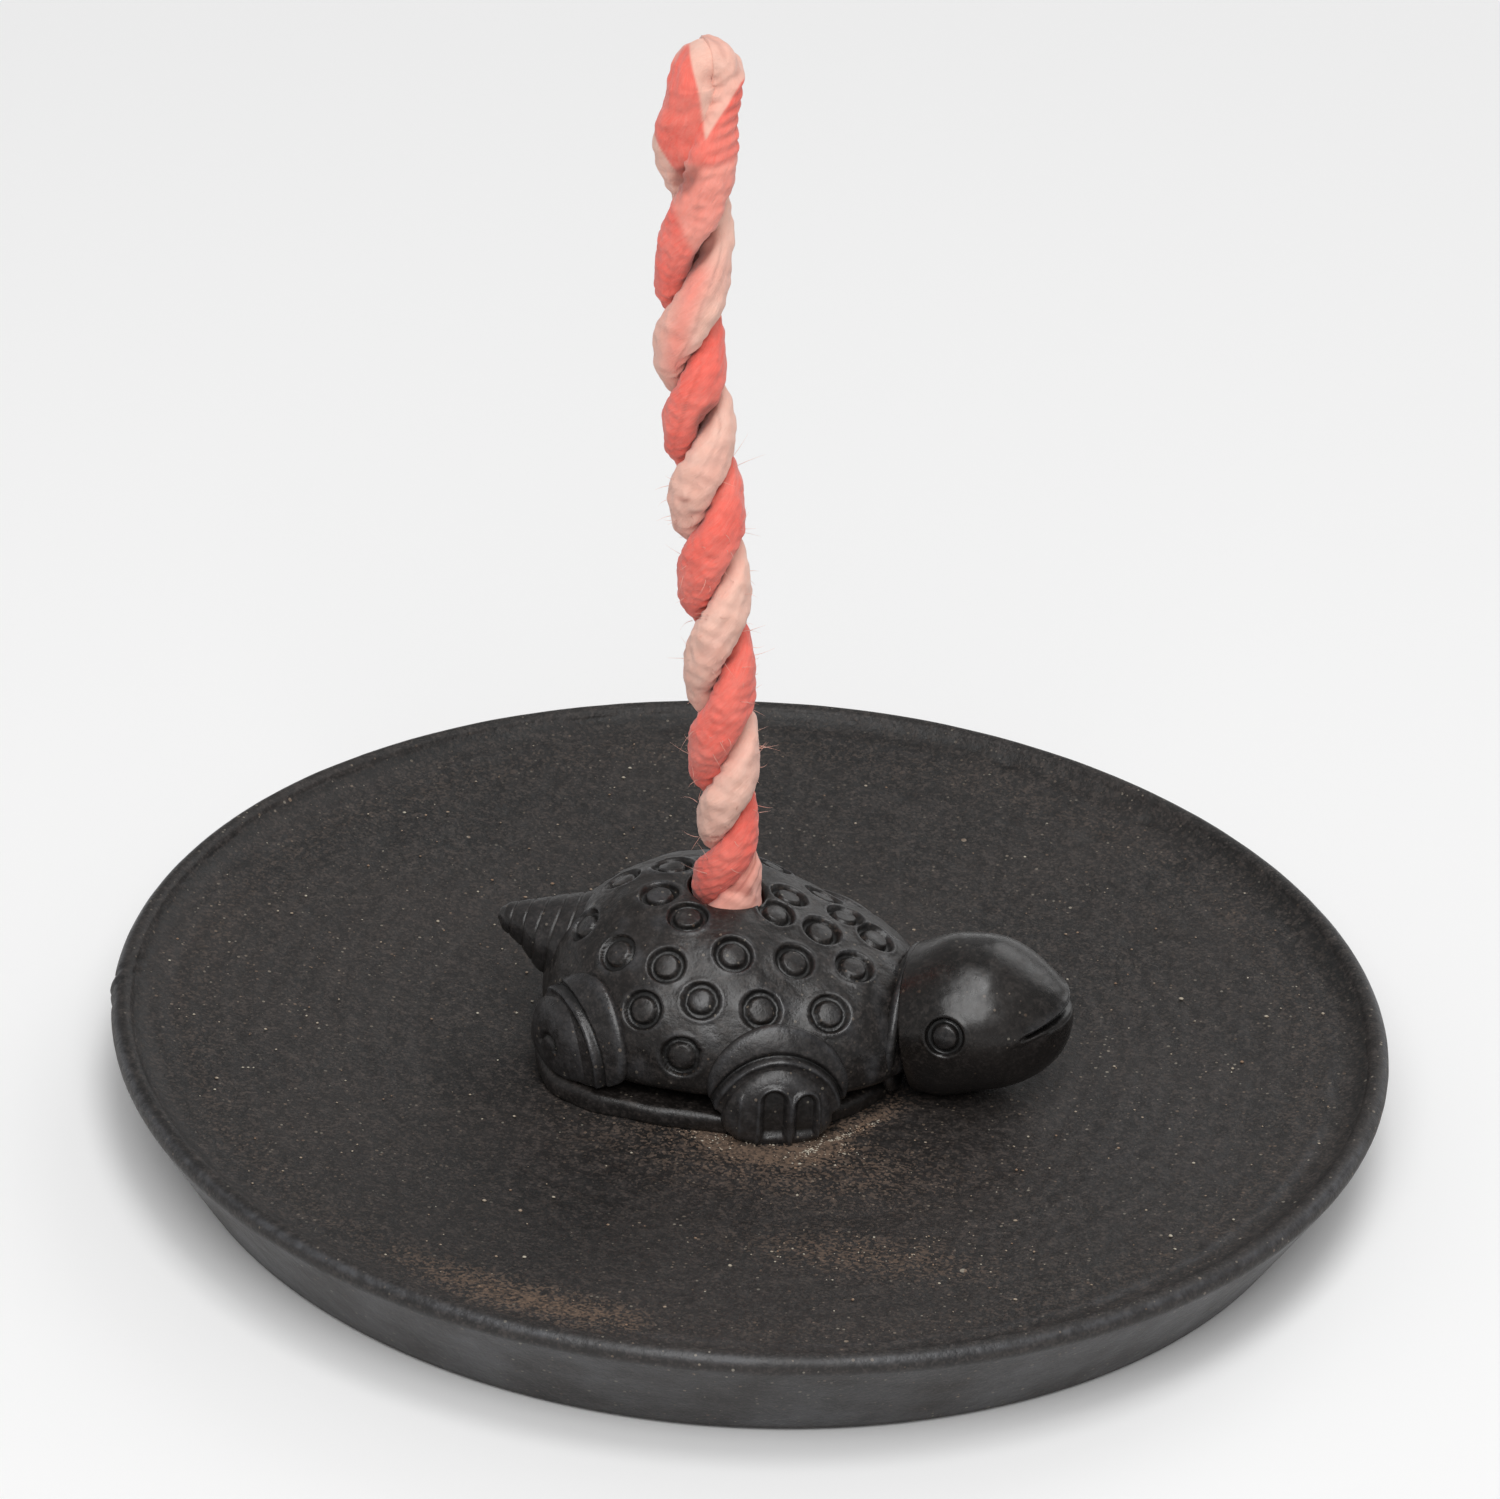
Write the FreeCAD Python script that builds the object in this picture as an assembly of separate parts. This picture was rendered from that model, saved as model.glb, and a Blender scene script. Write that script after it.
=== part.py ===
import FreeCAD, Part
import math
import os

from FreeCAD import Matrix, Placement, Rotation, Vector

# Rope incense burner of smoke-fired black clay, millimetres, +Z up.
# The origin is the middle of the dish's flat base and +X is where the tortoise heads.

# Dish
dish_radius = 57.5
dish_height = 11.0
dish_foot_radius = 52.15
dish_foot_round = 1.3
dish_rim_round = 1.5
dish_rim_width = 4.6
dish_floor_edge_drop = 1.7
dish_floor_drop = 4.0
dish_floor_flat_radius = 30.0
dish_inner_round = 2.5

# Where the tortoise was set down on the dish, measured to its incense socket
tortoise_x = -2.0
tortoise_y = -1.6

# Belly plate under the tortoise
belly_front = 15.4
belly_rear = 14.6
belly_half_width = 13.2
belly_thickness = 1.8
belly_round = 0.7

# Shell, heights from the dish floor
shell_peak_x = -2.0
shell_rear = 14.6
shell_front = 21.2
shell_half_width = 15.0
shell_equator_height = 4.5
shell_crown = 12.8
shell_under = 4.0
shell_end_x = 16.2

# Stamped rings on the shell, each at a turn round the shell and a height angle, in degrees
ring_radius = 1.75
ring_groove = 0.55
ring_depth = 0.5
ring_clearance = 0.2
ring_pairs = ((158, 40), (127, 43), (99, 46), (71, 55), (43, 54), (103, 27), (83, 35), (65, 35), (44, 31), (87, 12))
ring_singles = (
    (-21, 44), (-9, 60), (8, 44), (19, 54), (174, 55),
    (22, 70), (-32, 68), (88, 67), (-99, 68), (149, 70), (-146, 70),
)

# Socket in the shell's back
socket_x = -0.6
socket_radius = 3.5
socket_depth = 12.6
socket_lean = 5.8

# Collar between shell and head
collar_thickness = 1.2
collar_half_width = 8.5
collar_half_height = 8.4
collar_height = 4.2
collar_round = 0.45

# Head
head_x = 21.8
head_height = 7.6
head_front = 9.9
head_rear = 9.0
head_half_width = 8.0
head_half_height = 7.0
head_pitch = 9.0
mouth_x = 26.6
mouth_height = 8.3
mouth_gap = 0.6
mouth_depth_share = 0.84
eye_x = 21.7
eye_height = 8.9
eye_radius = 1.75
eye_groove = 0.55
eye_depth = 0.5

# Tail
tail_base_x = -13.2
tail_base_height = 7.5
tail_length = 8.3
tail_rise = 17.0
tail_base_radius = 4.9
tail_tip_radius = 0.8
tail_rings = 5
tail_ring_depth = 0.35

# Front legs, each a cuff with a paw standing out of it
front_cuff_x = 6.4
front_cuff_y = 9.3
front_cuff_height = 2.6
front_cuff_half_length = 7.6
front_cuff_half_width = 5.3
front_cuff_half_height = 8.8
front_paw_x = 6.8
front_paw_y = 11.7
front_paw_height = 1.2
front_paw_half_length = 5.4
front_paw_half_width = 4.6
front_paw_half_height = 7.6
toe_slot_radius = 1.0
toe_slot_height = 4.2
toe_slot_spacing = 3.0
toe_slot_sink = 0.35

# Rear legs
rear_cuff_x = -10.0
rear_cuff_y = 8.2
rear_cuff_height = 3.0
rear_cuff_half_length = 6.4
rear_cuff_half_width = 5.4
rear_cuff_half_height = 7.6
rear_foot_x = -11.3
rear_foot_y = 9.6
rear_foot_height = 1.2
rear_foot_half_length = 5.0
rear_foot_half_width = 4.4
rear_foot_half_height = 7.0
rear_foot_turn = 35.0

# Incense rope: one paper-wrapped strand folded at the top and twisted on itself
rope_length = 91.2
rope_seat_gap = 1.4
rope_pitch = 15.5
rope_facing_turn = -79.0
rope_facing_height = 27.1
rope_ply_offset = 1.6
rope_ply_half_thickness = 1.5
rope_ply_half_width = 2.05
rope_fold_length = 12.0
rope_fold_offset = 2.05
rope_fold_rise = 2.2
rope_upright_share = 0.55
paper_thickness = 0.3
filling_gap = 0.1

# Fineness of the rope's surface
ring_poles = 8
poles_per_turn = 10
fold_poles = 9

# Derived levels and directions
floor_z = dish_height - dish_floor_drop
origin = Vector(0, 0, 0)
axis_x = Vector(1, 0, 0)
axis_y = Vector(0, 1, 0)
axis_z = Vector(0, 0, 1)
tortoise_base = Vector(tortoise_x, tortoise_y, floor_z)
lean = math.radians(socket_lean)
socket_axis = Vector(-math.sin(lean), 0, math.cos(lean))
socket_mouth = Vector(socket_x, 0, shell_equator_height + shell_crown)
socket_bottom = socket_mouth - socket_axis * socket_depth
reach = 4.0 * dish_radius


def save(name, shape):
    """Write one named solid to its own file."""
    solids = shape.Solids
    if len(solids) != 1 or not shape.isValid():
        raise ValueError(name + " is not one valid solid: " + str(len(solids)))
    os.makedirs("parts", exist_ok=True)
    solids[0].exportStep("parts/" + name + ".step")


def scaled(shape, x, y, z):
    """Stretch a shape about the origin by one factor along each axis."""
    stretch = Matrix()
    stretch.scale(x, y, z)
    return shape.transformGeometry(stretch)


def slab(x0, x1, y0, y1, z0, z1):
    """Box between two corners."""
    return Part.makeBox(x1 - x0, y1 - y0, z1 - z0, Vector(x0, y0, z0))


def egg(rear, front, half_width, below, above):
    """Solid of four ellipsoid quarters: own length front and rear, own height above and below."""
    ball = Part.makeSphere(1.0)
    whole = None
    for x_side, x_size in ((-1, rear), (1, front)):
        for z_side, z_size in ((-1, below), (1, above)):
            x0, x1 = sorted((0.0, 2.0 * x_side))
            z0, z1 = sorted((0.0, 2.0 * z_side))
            quarter = ball.common(slab(x0, x1, -2, 2, z0, z1))
            quarter = scaled(quarter, x_size, half_width, z_size)
            whole = quarter if whole is None else whole.fuse(quarter)
    return whole


def ellipsoid(half_length, half_width, half_height, turn=0.0):
    """Ellipsoid at the origin, turned about +Z."""
    shape = scaled(Part.makeSphere(1.0), half_length, half_width, half_height)
    if turn:
        shape.rotate(origin, axis_z, turn)
    return shape


def above(shape, level):
    """What lies above a level."""
    return shape.common(slab(-reach, reach, -reach, reach, level, reach))


def mirrored(shape):
    """The same shape on the tortoise's other side."""
    return shape.mirror(origin, axis_y)


def tangent_points(c0, r0, c1, r1):
    """Ends of the straight line that touches two circles on their right side, c0 below c1."""
    dx = c1[0] - c0[0]
    dz = c1[1] - c0[1]
    length = math.hypot(dx, dz)
    along = math.atan2(dz, dx)
    side = along - math.pi / 2 + math.asin((r1 - r0) / length) * -1
    unit = (math.cos(side), math.sin(side))
    first = (c0[0] + r0 * unit[0], c0[1] + r0 * unit[1])
    second = (c1[0] + r1 * unit[0], c1[1] + r1 * unit[1])
    return first, second, side


def make_dish():
    """Turned saucer: flat base, wall leaning out to a rounded rim, floor sinking to a flat middle."""
    foot = (dish_foot_radius - dish_foot_round, dish_foot_round)
    rim = (dish_radius - dish_rim_round, dish_height - dish_rim_round)
    wall_0, wall_1, side = tangent_points(foot, dish_foot_round, rim, dish_rim_round)
    edge = (dish_radius - dish_rim_width, dish_height - dish_floor_edge_drop)
    flat = (dish_floor_flat_radius, floor_z)

    def at(point):
        return Vector(point[0], 0, point[1])

    def on_circle(centre, radius, angle):
        return Vector(centre[0] + radius * math.cos(angle), 0, centre[1] + radius * math.sin(angle))

    inner_angle = math.radians(130)
    crown_end = on_circle(rim, dish_rim_round, inner_angle)
    foot_mid = on_circle(foot, dish_foot_round, (side - math.pi / 2) / 2)
    crown_mid = on_circle(rim, dish_rim_round, (side + inner_angle) / 2)
    corners = [
        Part.makeLine(origin, Vector(foot[0], 0, 0)),
        Part.Arc(Vector(foot[0], 0, 0), foot_mid, at(wall_0)).toShape(),
        Part.makeLine(at(wall_0), at(wall_1)),
        Part.Arc(at(wall_1), crown_mid, crown_end).toShape(),
        Part.makeLine(crown_end, at(edge)),
        Part.makeLine(at(edge), at(flat)),
        Part.makeLine(at(flat), Vector(0, 0, floor_z)),
        Part.makeLine(Vector(0, 0, floor_z), origin),
    ]
    section = Part.Face(Part.Wire(corners))
    dish = section.revolve(origin, axis_z, 360)
    inner_edges = []
    for line in dish.Edges:
        box = line.BoundBox
        at_edge = abs(box.XMax - edge[0]) < 0.01 and abs(box.ZMax - edge[1]) < 0.01
        if at_edge and box.ZLength < 0.01:
            inner_edges.append(line)
    return dish.makeFillet(dish_inner_round, inner_edges)


def make_belly():
    """Flat oval plate the tortoise stands on, its upper edge rounded."""
    low = egg(belly_rear, belly_front, belly_half_width, belly_thickness, belly_thickness)
    outline = low.slice(axis_z, 0.0)[0]
    plate = Part.Face(outline).extrude(Vector(0, 0, belly_thickness))
    top_edges = [line for line in plate.Edges if line.BoundBox.ZMin > belly_thickness / 2]
    return plate.makeFillet(belly_round, top_edges)


def make_shell_form():
    """Shell without its socket: four ellipsoid quarters, cut at the belly plate and at the collar."""
    form = egg(shell_rear, shell_front, shell_half_width, shell_under, shell_crown)
    form.translate(Vector(shell_peak_x, 0, shell_equator_height))
    return form.common(slab(-reach, shell_end_x, -reach, reach, belly_thickness, reach))


def make_socket():
    """Blind hole for the rope, leaning a little toward the tail."""
    return Part.makeCylinder(socket_radius, reach, socket_bottom, socket_axis)


def make_stamps():
    """Tubes that press the rings into the dome, each along the dome's own normal, clear of the socket."""
    middle = Vector(shell_peak_x, 0, shell_equator_height)
    places = list(ring_singles)
    for turn, height in ring_pairs:
        places += [(turn, height), (-turn, height)]
    stamps = []
    for turn, height in places:
        heading = math.radians(turn)
        low = math.cos(math.radians(height))
        long = shell_front if math.cos(heading) > 0 else shell_rear
        x = long * low * math.cos(heading)
        y = shell_half_width * low * math.sin(heading)
        z = shell_crown * math.sin(math.radians(height))
        outward = Vector(x / long ** 2, y / shell_half_width ** 2, z / shell_crown ** 2)
        outward.normalize()
        spot = middle + Vector(x, y, z)
        away = (spot - socket_mouth).cross(socket_axis).Length
        if away < socket_radius + ring_radius + ring_clearance:
            continue
        bottom = spot - outward * ring_depth
        tall = ring_depth + ring_radius
        tube = Part.makeCylinder(ring_radius, tall, bottom, outward)
        core = Part.makeCylinder(ring_radius - ring_groove, tall, bottom, outward)
        stamps.append(tube.cut(core))
    return stamps


def make_collar():
    """Thin round-edged disc of clay between shell and head, flat where it meets the floor."""
    disc = Part.makeCylinder(1.0, collar_thickness, origin, axis_x)
    disc = scaled(disc, 1.0, collar_half_width, collar_half_height)
    disc.translate(Vector(shell_end_x, 0, collar_height))
    rims = [line for line in disc.Edges if line.BoundBox.XLength < collar_thickness / 2]
    disc = disc.makeFillet(collar_round, rims)
    return above(disc, 0.0)


def make_head():
    """Egg-shaped head with a blunt beak, a mouth slit round the beak and a stamped ring for each eye."""
    back = shell_end_x + collar_thickness
    form = egg(head_rear, head_front, head_half_width, head_half_height, head_half_height)
    inner = egg(head_rear * mouth_depth_share, head_front * mouth_depth_share,
                head_half_width * mouth_depth_share, head_half_height, head_half_height)
    centre = Vector(head_x, 0, head_height)
    for shape in (form, inner):
        shape.rotate(origin, axis_y, -head_pitch)
        shape.translate(centre)
    head = form.common(slab(back, reach, -reach, reach, 0, reach))
    slit = slab(mouth_x, reach, -reach, reach, mouth_height - mouth_gap / 2, mouth_height + mouth_gap / 2)
    head = head.cut(slit.cut(inner))
    share = (eye_x - head_x) / head_front
    eye_y = head_half_width * math.sqrt(max(0.0, 1.0 - share * share))
    start = Vector(eye_x, eye_y - eye_depth, eye_height)
    ring = Part.makeCylinder(eye_radius, reach, start, axis_y)
    ring = ring.cut(Part.makeCylinder(eye_radius - eye_groove, reach, start, axis_y))
    head = head.cut(ring)
    return head.cut(mirrored(ring))


def make_tail():
    """Short upturned cone with incised rings and a round tip, turned from one profile."""
    step = tail_length / tail_rings

    def profile_point(length, sink):
        radius = tail_base_radius + (tail_tip_radius - tail_base_radius) * length / tail_length
        return Vector(radius - sink, 0, length)

    points = [origin, profile_point(0, 0)]
    for ring in range(1, tail_rings):
        groove = ring * step
        points.append(profile_point(groove - tail_ring_depth, 0))
        points.append(profile_point(groove, tail_ring_depth))
        points.append(profile_point(groove + tail_ring_depth, 0))
    last = profile_point(tail_length, 0)
    points.append(last)
    edges = [Part.makeLine(first, second) for first, second in zip(points, points[1:])]
    cap = tail_tip_radius / 2
    ball = (tail_tip_radius ** 2 + cap ** 2) / (2 * cap)
    half_angle = math.asin(tail_tip_radius / ball) / 2
    tip = Vector(0, 0, tail_length + cap)
    between = tip + Vector(ball * math.sin(half_angle), 0, ball * math.cos(half_angle) - ball)
    edges.append(Part.Arc(last, between, tip).toShape())
    edges.append(Part.makeLine(tip, origin))
    cone = Part.Face(Part.Wire(edges)).revolve(origin, axis_z, 360)
    cone.rotate(origin, axis_y, -90 + tail_rise)
    cone.translate(Vector(tail_base_x, 0, tail_base_height))
    return cone


def make_front_leg():
    """Left front leg: cuff and paw, with two toe slots pressed into the paw."""
    cuff = ellipsoid(front_cuff_half_length, front_cuff_half_width, front_cuff_half_height)
    cuff.translate(Vector(front_cuff_x, front_cuff_y, front_cuff_height))
    paw = ellipsoid(front_paw_half_length, front_paw_half_width, front_paw_half_height)
    paw.translate(Vector(front_paw_x, front_paw_y, front_paw_height))
    leg = cuff.fuse(paw)
    for side in (-1, 1):
        offset = side * toe_slot_spacing / 2
        lift = (toe_slot_height / 2 - front_paw_height) / front_paw_half_height
        across = offset / front_paw_half_length
        depth = math.sqrt(max(0.0, 1.0 - lift * lift - across * across))
        y = front_paw_y + front_paw_half_width * depth + toe_slot_radius - toe_slot_sink
        foot = Vector(front_paw_x + offset, y, -toe_slot_height)
        slot = Part.makeCylinder(toe_slot_radius, 2 * toe_slot_height, foot, axis_z)
        leg = leg.cut(slot)
        leg = leg.cut(Part.makeSphere(toe_slot_radius, Vector(foot.x, foot.y, toe_slot_height)))
    return leg


def make_rear_leg():
    """Left rear leg: cuff and foot, the foot turned out behind."""
    cuff = ellipsoid(rear_cuff_half_length, rear_cuff_half_width, rear_cuff_half_height)
    cuff.translate(Vector(rear_cuff_x, rear_cuff_y, rear_cuff_height))
    foot = ellipsoid(rear_foot_half_length, rear_foot_half_width, rear_foot_half_height, -rear_foot_turn)
    foot.translate(Vector(rear_foot_x, rear_foot_y, rear_foot_height))
    return cuff.fuse(foot)


def smooth(share):
    """Smooth step from 0 to 1."""
    share = min(1.0, max(0.0, share))
    return share * share * (3.0 - 2.0 * share)


def rope_axis(height):
    """Middle of the rope at a distance along the socket's axis: leaning at first, then coming upright."""
    straight = rope_length * rope_upright_share
    back = 0.0
    if height > straight:
        over = height - straight
        back = math.tan(lean) * over * over / (2.0 * (rope_length - straight))
    return Vector(back, 0, height)


def spline_gain(count):
    """How much a ring of evenly spaced cubic spline poles must be enlarged to pass its radius."""
    return 3.0 / (2.0 + math.cos(2.0 * math.pi / count))


def strand_path():
    """Frames along the folded strand: middle, inward direction, sideways direction."""
    fold_start = rope_length - rope_fold_rise - rope_ply_half_thickness
    step = rope_pitch / poles_per_turn
    count = int(math.ceil(fold_start / step)) + 1
    gain = spline_gain(poles_per_turn)
    up = []
    down = []
    for index in range(count):
        height = fold_start * index / (count - 1)
        turn = math.radians(rope_facing_turn) + 2 * math.pi * (height - rope_facing_height) / rope_pitch
        near_fold = smooth((height - fold_start + rope_fold_length) / rope_fold_length)
        offset = rope_ply_offset + (rope_fold_offset - rope_ply_offset) * near_fold
        for ply, frames in ((0, up), (1, down)):
            angle = turn + math.pi * ply
            out = Vector(math.cos(angle), math.sin(angle), 0)
            around = Vector(-math.sin(angle), math.cos(angle), 0)
            climb = rope_pitch / (2 * math.pi)
            rise = climb / math.hypot(climb, offset)
            run = offset / math.hypot(climb, offset)
            ends = smooth(min(index, count - 1 - index) / 2.0)
            middle = rope_axis(height) + out * (offset * (1.0 + (gain - 1.0) * ends))
            side = (around * rise - axis_z * (run * (1.0 - near_fold))) * (1 - 2 * ply)
            side.normalize()
            frames.append((middle, out * -1, side))
    angle = math.radians(rope_facing_turn) + 2 * math.pi * (fold_start - rope_facing_height) / rope_pitch
    out = Vector(math.cos(angle), math.sin(angle), 0)
    around = Vector(-math.sin(angle), math.cos(angle), 0)
    top = rope_axis(fold_start)
    arch_gain = spline_gain(2 * (fold_poles + 1))
    arch = []
    for index in range(1, fold_poles + 1):
        bend = math.pi * index / (fold_poles + 1)
        lift = rope_fold_rise * math.sin(bend) * arch_gain
        middle = top + out * (rope_fold_offset * math.cos(bend) * arch_gain) + axis_z * lift
        inward = (out * math.cos(bend) + axis_z * math.sin(bend)) * -1
        arch.append((middle, inward, around))
    return up, arch, down


def strand_skin(frames, half_thickness, half_width):
    """Oval tube surface along a row of frames, as two half tubes, and the closed edge at each end."""
    gain = spline_gain(ring_poles)
    rows = []
    for index in range(ring_poles):
        angle = 2 * math.pi * index / ring_poles
        across = half_thickness * gain * math.cos(angle)
        along = half_width * gain * math.sin(angle)
        rows.append([middle + inward * across + side * along for middle, inward, side in frames])
    count = len(frames)
    surface = Part.BSplineSurface()
    surface.buildFromPolesMultsKnots(
        rows, [1] * (ring_poles + 1), [4] + [1] * (count - 4) + [4],
        list(range(ring_poles + 1)), list(range(count - 2)), True, False, 3, 3)
    surface.setUNotPeriodic()
    start, stop, first, last = surface.bounds()
    middle = (start + stop) / 2
    halves = []
    ends = [[], []]
    for low, high in ((start, middle), (middle, stop)):
        half = surface.copy()
        half.segment(low, high, first, last)
        face = half.toShape()
        halves.append(face)
        for end, level in zip(ends, (first, last)):
            target = half.value((low + high) / 2, level)
            end.append(min(face.Edges, key=lambda edge: edge.distToShape(Part.Vertex(target))[0]))
    return halves, [Part.Wire(end) for end in ends]


def closed(faces):
    """Solid bounded by faces that meet edge to edge."""
    skin = Part.Shell(faces)
    skin.sewShape()
    solid = Part.Solid(skin)
    if solid.Volume < 0:
        solid.reverse()
    return solid


def strand_solid(frames, half_thickness, half_width):
    """Solid with an oval section along a row of frames, flat at both ends."""
    skin, ends = strand_skin(frames, half_thickness, half_width)
    return closed(skin + [Part.Face(end) for end in ends])


def strand_tube(frames, half_thickness, half_width, wall):
    """Hollow strand: an outer and an inner oval skin with a flat ring at each end."""
    outer, outer_ends = strand_skin(frames, half_thickness, half_width)
    inner, inner_ends = strand_skin(frames, half_thickness - wall, half_width - wall)
    pairs = [list(pair) for pair in zip(outer_ends, inner_ends)]
    rings = [Part.makeFace(pair, "Part::FaceMakerBullseye") for pair in pairs]
    return closed(outer + [face.reversed() for face in inner] + rings)


def to_socket(shape):
    """Stand a rope piece in the socket."""
    seat = socket_bottom + socket_axis * rope_seat_gap
    shape.Placement = Placement(seat, Rotation(axis_z, socket_axis)) * shape.Placement
    return shape


def place(shape):
    """Set a tortoise piece on the dish floor."""
    shape.translate(tortoise_base)
    return shape


def make_rope():
    """Two paper wrappers that meet over the fold and the filling that runs through both."""
    up, arch, down = strand_path()
    half = len(arch) // 2
    red = up + arch[:half + 1]
    pale = down + list(reversed(arch[half:]))
    wrappers = []
    for frames in (red, pale):
        wrappers.append(strand_tube(frames, rope_ply_half_thickness, rope_ply_half_width, paper_thickness))
    core_thickness = rope_ply_half_thickness - paper_thickness - filling_gap
    core_width = rope_ply_half_width - paper_thickness - filling_gap
    whole = up + arch + list(reversed(down))
    filling = strand_solid(whole, core_thickness, core_width)
    return wrappers[0], wrappers[1], filling


dish = make_dish()
belly = make_belly()
shell_form = make_shell_form()
shell = shell_form.cut([make_socket()] + make_stamps())
collar = make_collar()
head = make_head()
tail = make_tail().cut(shell_form)
front_leg = above(make_front_leg(), 0.0).cut(shell_form).cut(belly)
rear_leg = above(make_rear_leg(), 0.0).cut(shell_form).cut(belly).cut(tail)
red_paper, pale_paper, filling = make_rope()

save("dish", dish)
save("belly_plate", place(belly))
save("shell", place(shell))
save("neck_collar", place(collar))
save("head", place(head))
save("tail", place(tail))
save("front_left_leg", place(front_leg.copy()))
save("front_right_leg", place(mirrored(front_leg)))
save("rear_left_leg", place(rear_leg.copy()))
save("rear_right_leg", place(mirrored(rear_leg)))
save("red_paper_wrapper", place(to_socket(red_paper)))
save("pale_paper_wrapper", place(to_socket(pale_paper)))
save("incense_filling", place(to_socket(filling)))
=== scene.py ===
"""Rope incense burner of black clay: a shallow dish, a ring-stamped tortoise and a twisted paper rope."""
import math
from collections import namedtuple
from types import SimpleNamespace

import bpy
import numpy as np
from mathutils import Matrix


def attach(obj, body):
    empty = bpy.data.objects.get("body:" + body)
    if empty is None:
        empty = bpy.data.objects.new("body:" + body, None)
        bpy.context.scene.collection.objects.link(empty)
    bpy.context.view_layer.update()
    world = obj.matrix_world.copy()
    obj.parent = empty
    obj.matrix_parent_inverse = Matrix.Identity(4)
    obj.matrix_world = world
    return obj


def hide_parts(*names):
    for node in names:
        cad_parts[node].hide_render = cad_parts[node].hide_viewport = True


bl_info = {
    "name": "Rope incense burner",
    "version": (1, 0, 0),
    "blender": (4, 5, 0),
    "location": "View3D > Sidebar > Incense burner",
    "description": "Black clay dish with a ring-stamped tortoise that holds a twisted paper incense rope",
    "category": "Object",
}

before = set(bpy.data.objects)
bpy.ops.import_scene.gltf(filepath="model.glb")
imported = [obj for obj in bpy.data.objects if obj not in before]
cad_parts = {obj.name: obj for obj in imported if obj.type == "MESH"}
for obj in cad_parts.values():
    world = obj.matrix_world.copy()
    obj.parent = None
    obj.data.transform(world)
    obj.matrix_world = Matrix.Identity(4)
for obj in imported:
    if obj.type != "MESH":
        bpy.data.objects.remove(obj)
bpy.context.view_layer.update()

MM = 0.001
BURNER = "burner"
INCENSE = "incense"
TAU = 2 * math.pi


def length(name, size, description):
    """A length property given in millimetres."""
    return bpy.props.FloatProperty(
        name=name, description=description, default=size * MM, unit="LENGTH", precision=5)


def turn(name, degrees, description):
    """An angle property given in degrees."""
    return bpy.props.FloatProperty(
        name=name, description=description, default=math.radians(degrees), subtype="ANGLE")


def tone(name, colour, description):
    """A linear colour property."""
    return bpy.props.FloatVectorProperty(
        name=name, description=description, default=colour, subtype="COLOR", size=3, min=0.0, max=1.0)


class DishSizes(bpy.types.PropertyGroup):
    """Sizes of the dish."""

    radius: length("Radius", 57.5, "Outer radius at the rim")
    height: length("Height", 11.0, "Height of the rim above the table")
    foot_radius: length("Foot radius", 52.15, "Radius of the rounded lower edge")
    foot_round: length("Foot rounding", 1.3, "Rounding of the lower edge")
    rim_round: length("Rim rounding", 1.05, "Rounding of the rim's crown")
    rim_width: length("Rim width", 2.7, "From the outer edge to the floor's edge")
    edge_drop: length("Edge drop", 1.5, "From the crown down to the floor's edge")
    floor_drop: length("Floor drop", 4.0, "From the crown down to the flat middle")
    flat_radius: length("Flat radius", 30.0, "Radius of the flat middle")
    unevenness: length("Unevenness", 0.22, "How far the hand-thrown form wanders")


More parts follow.
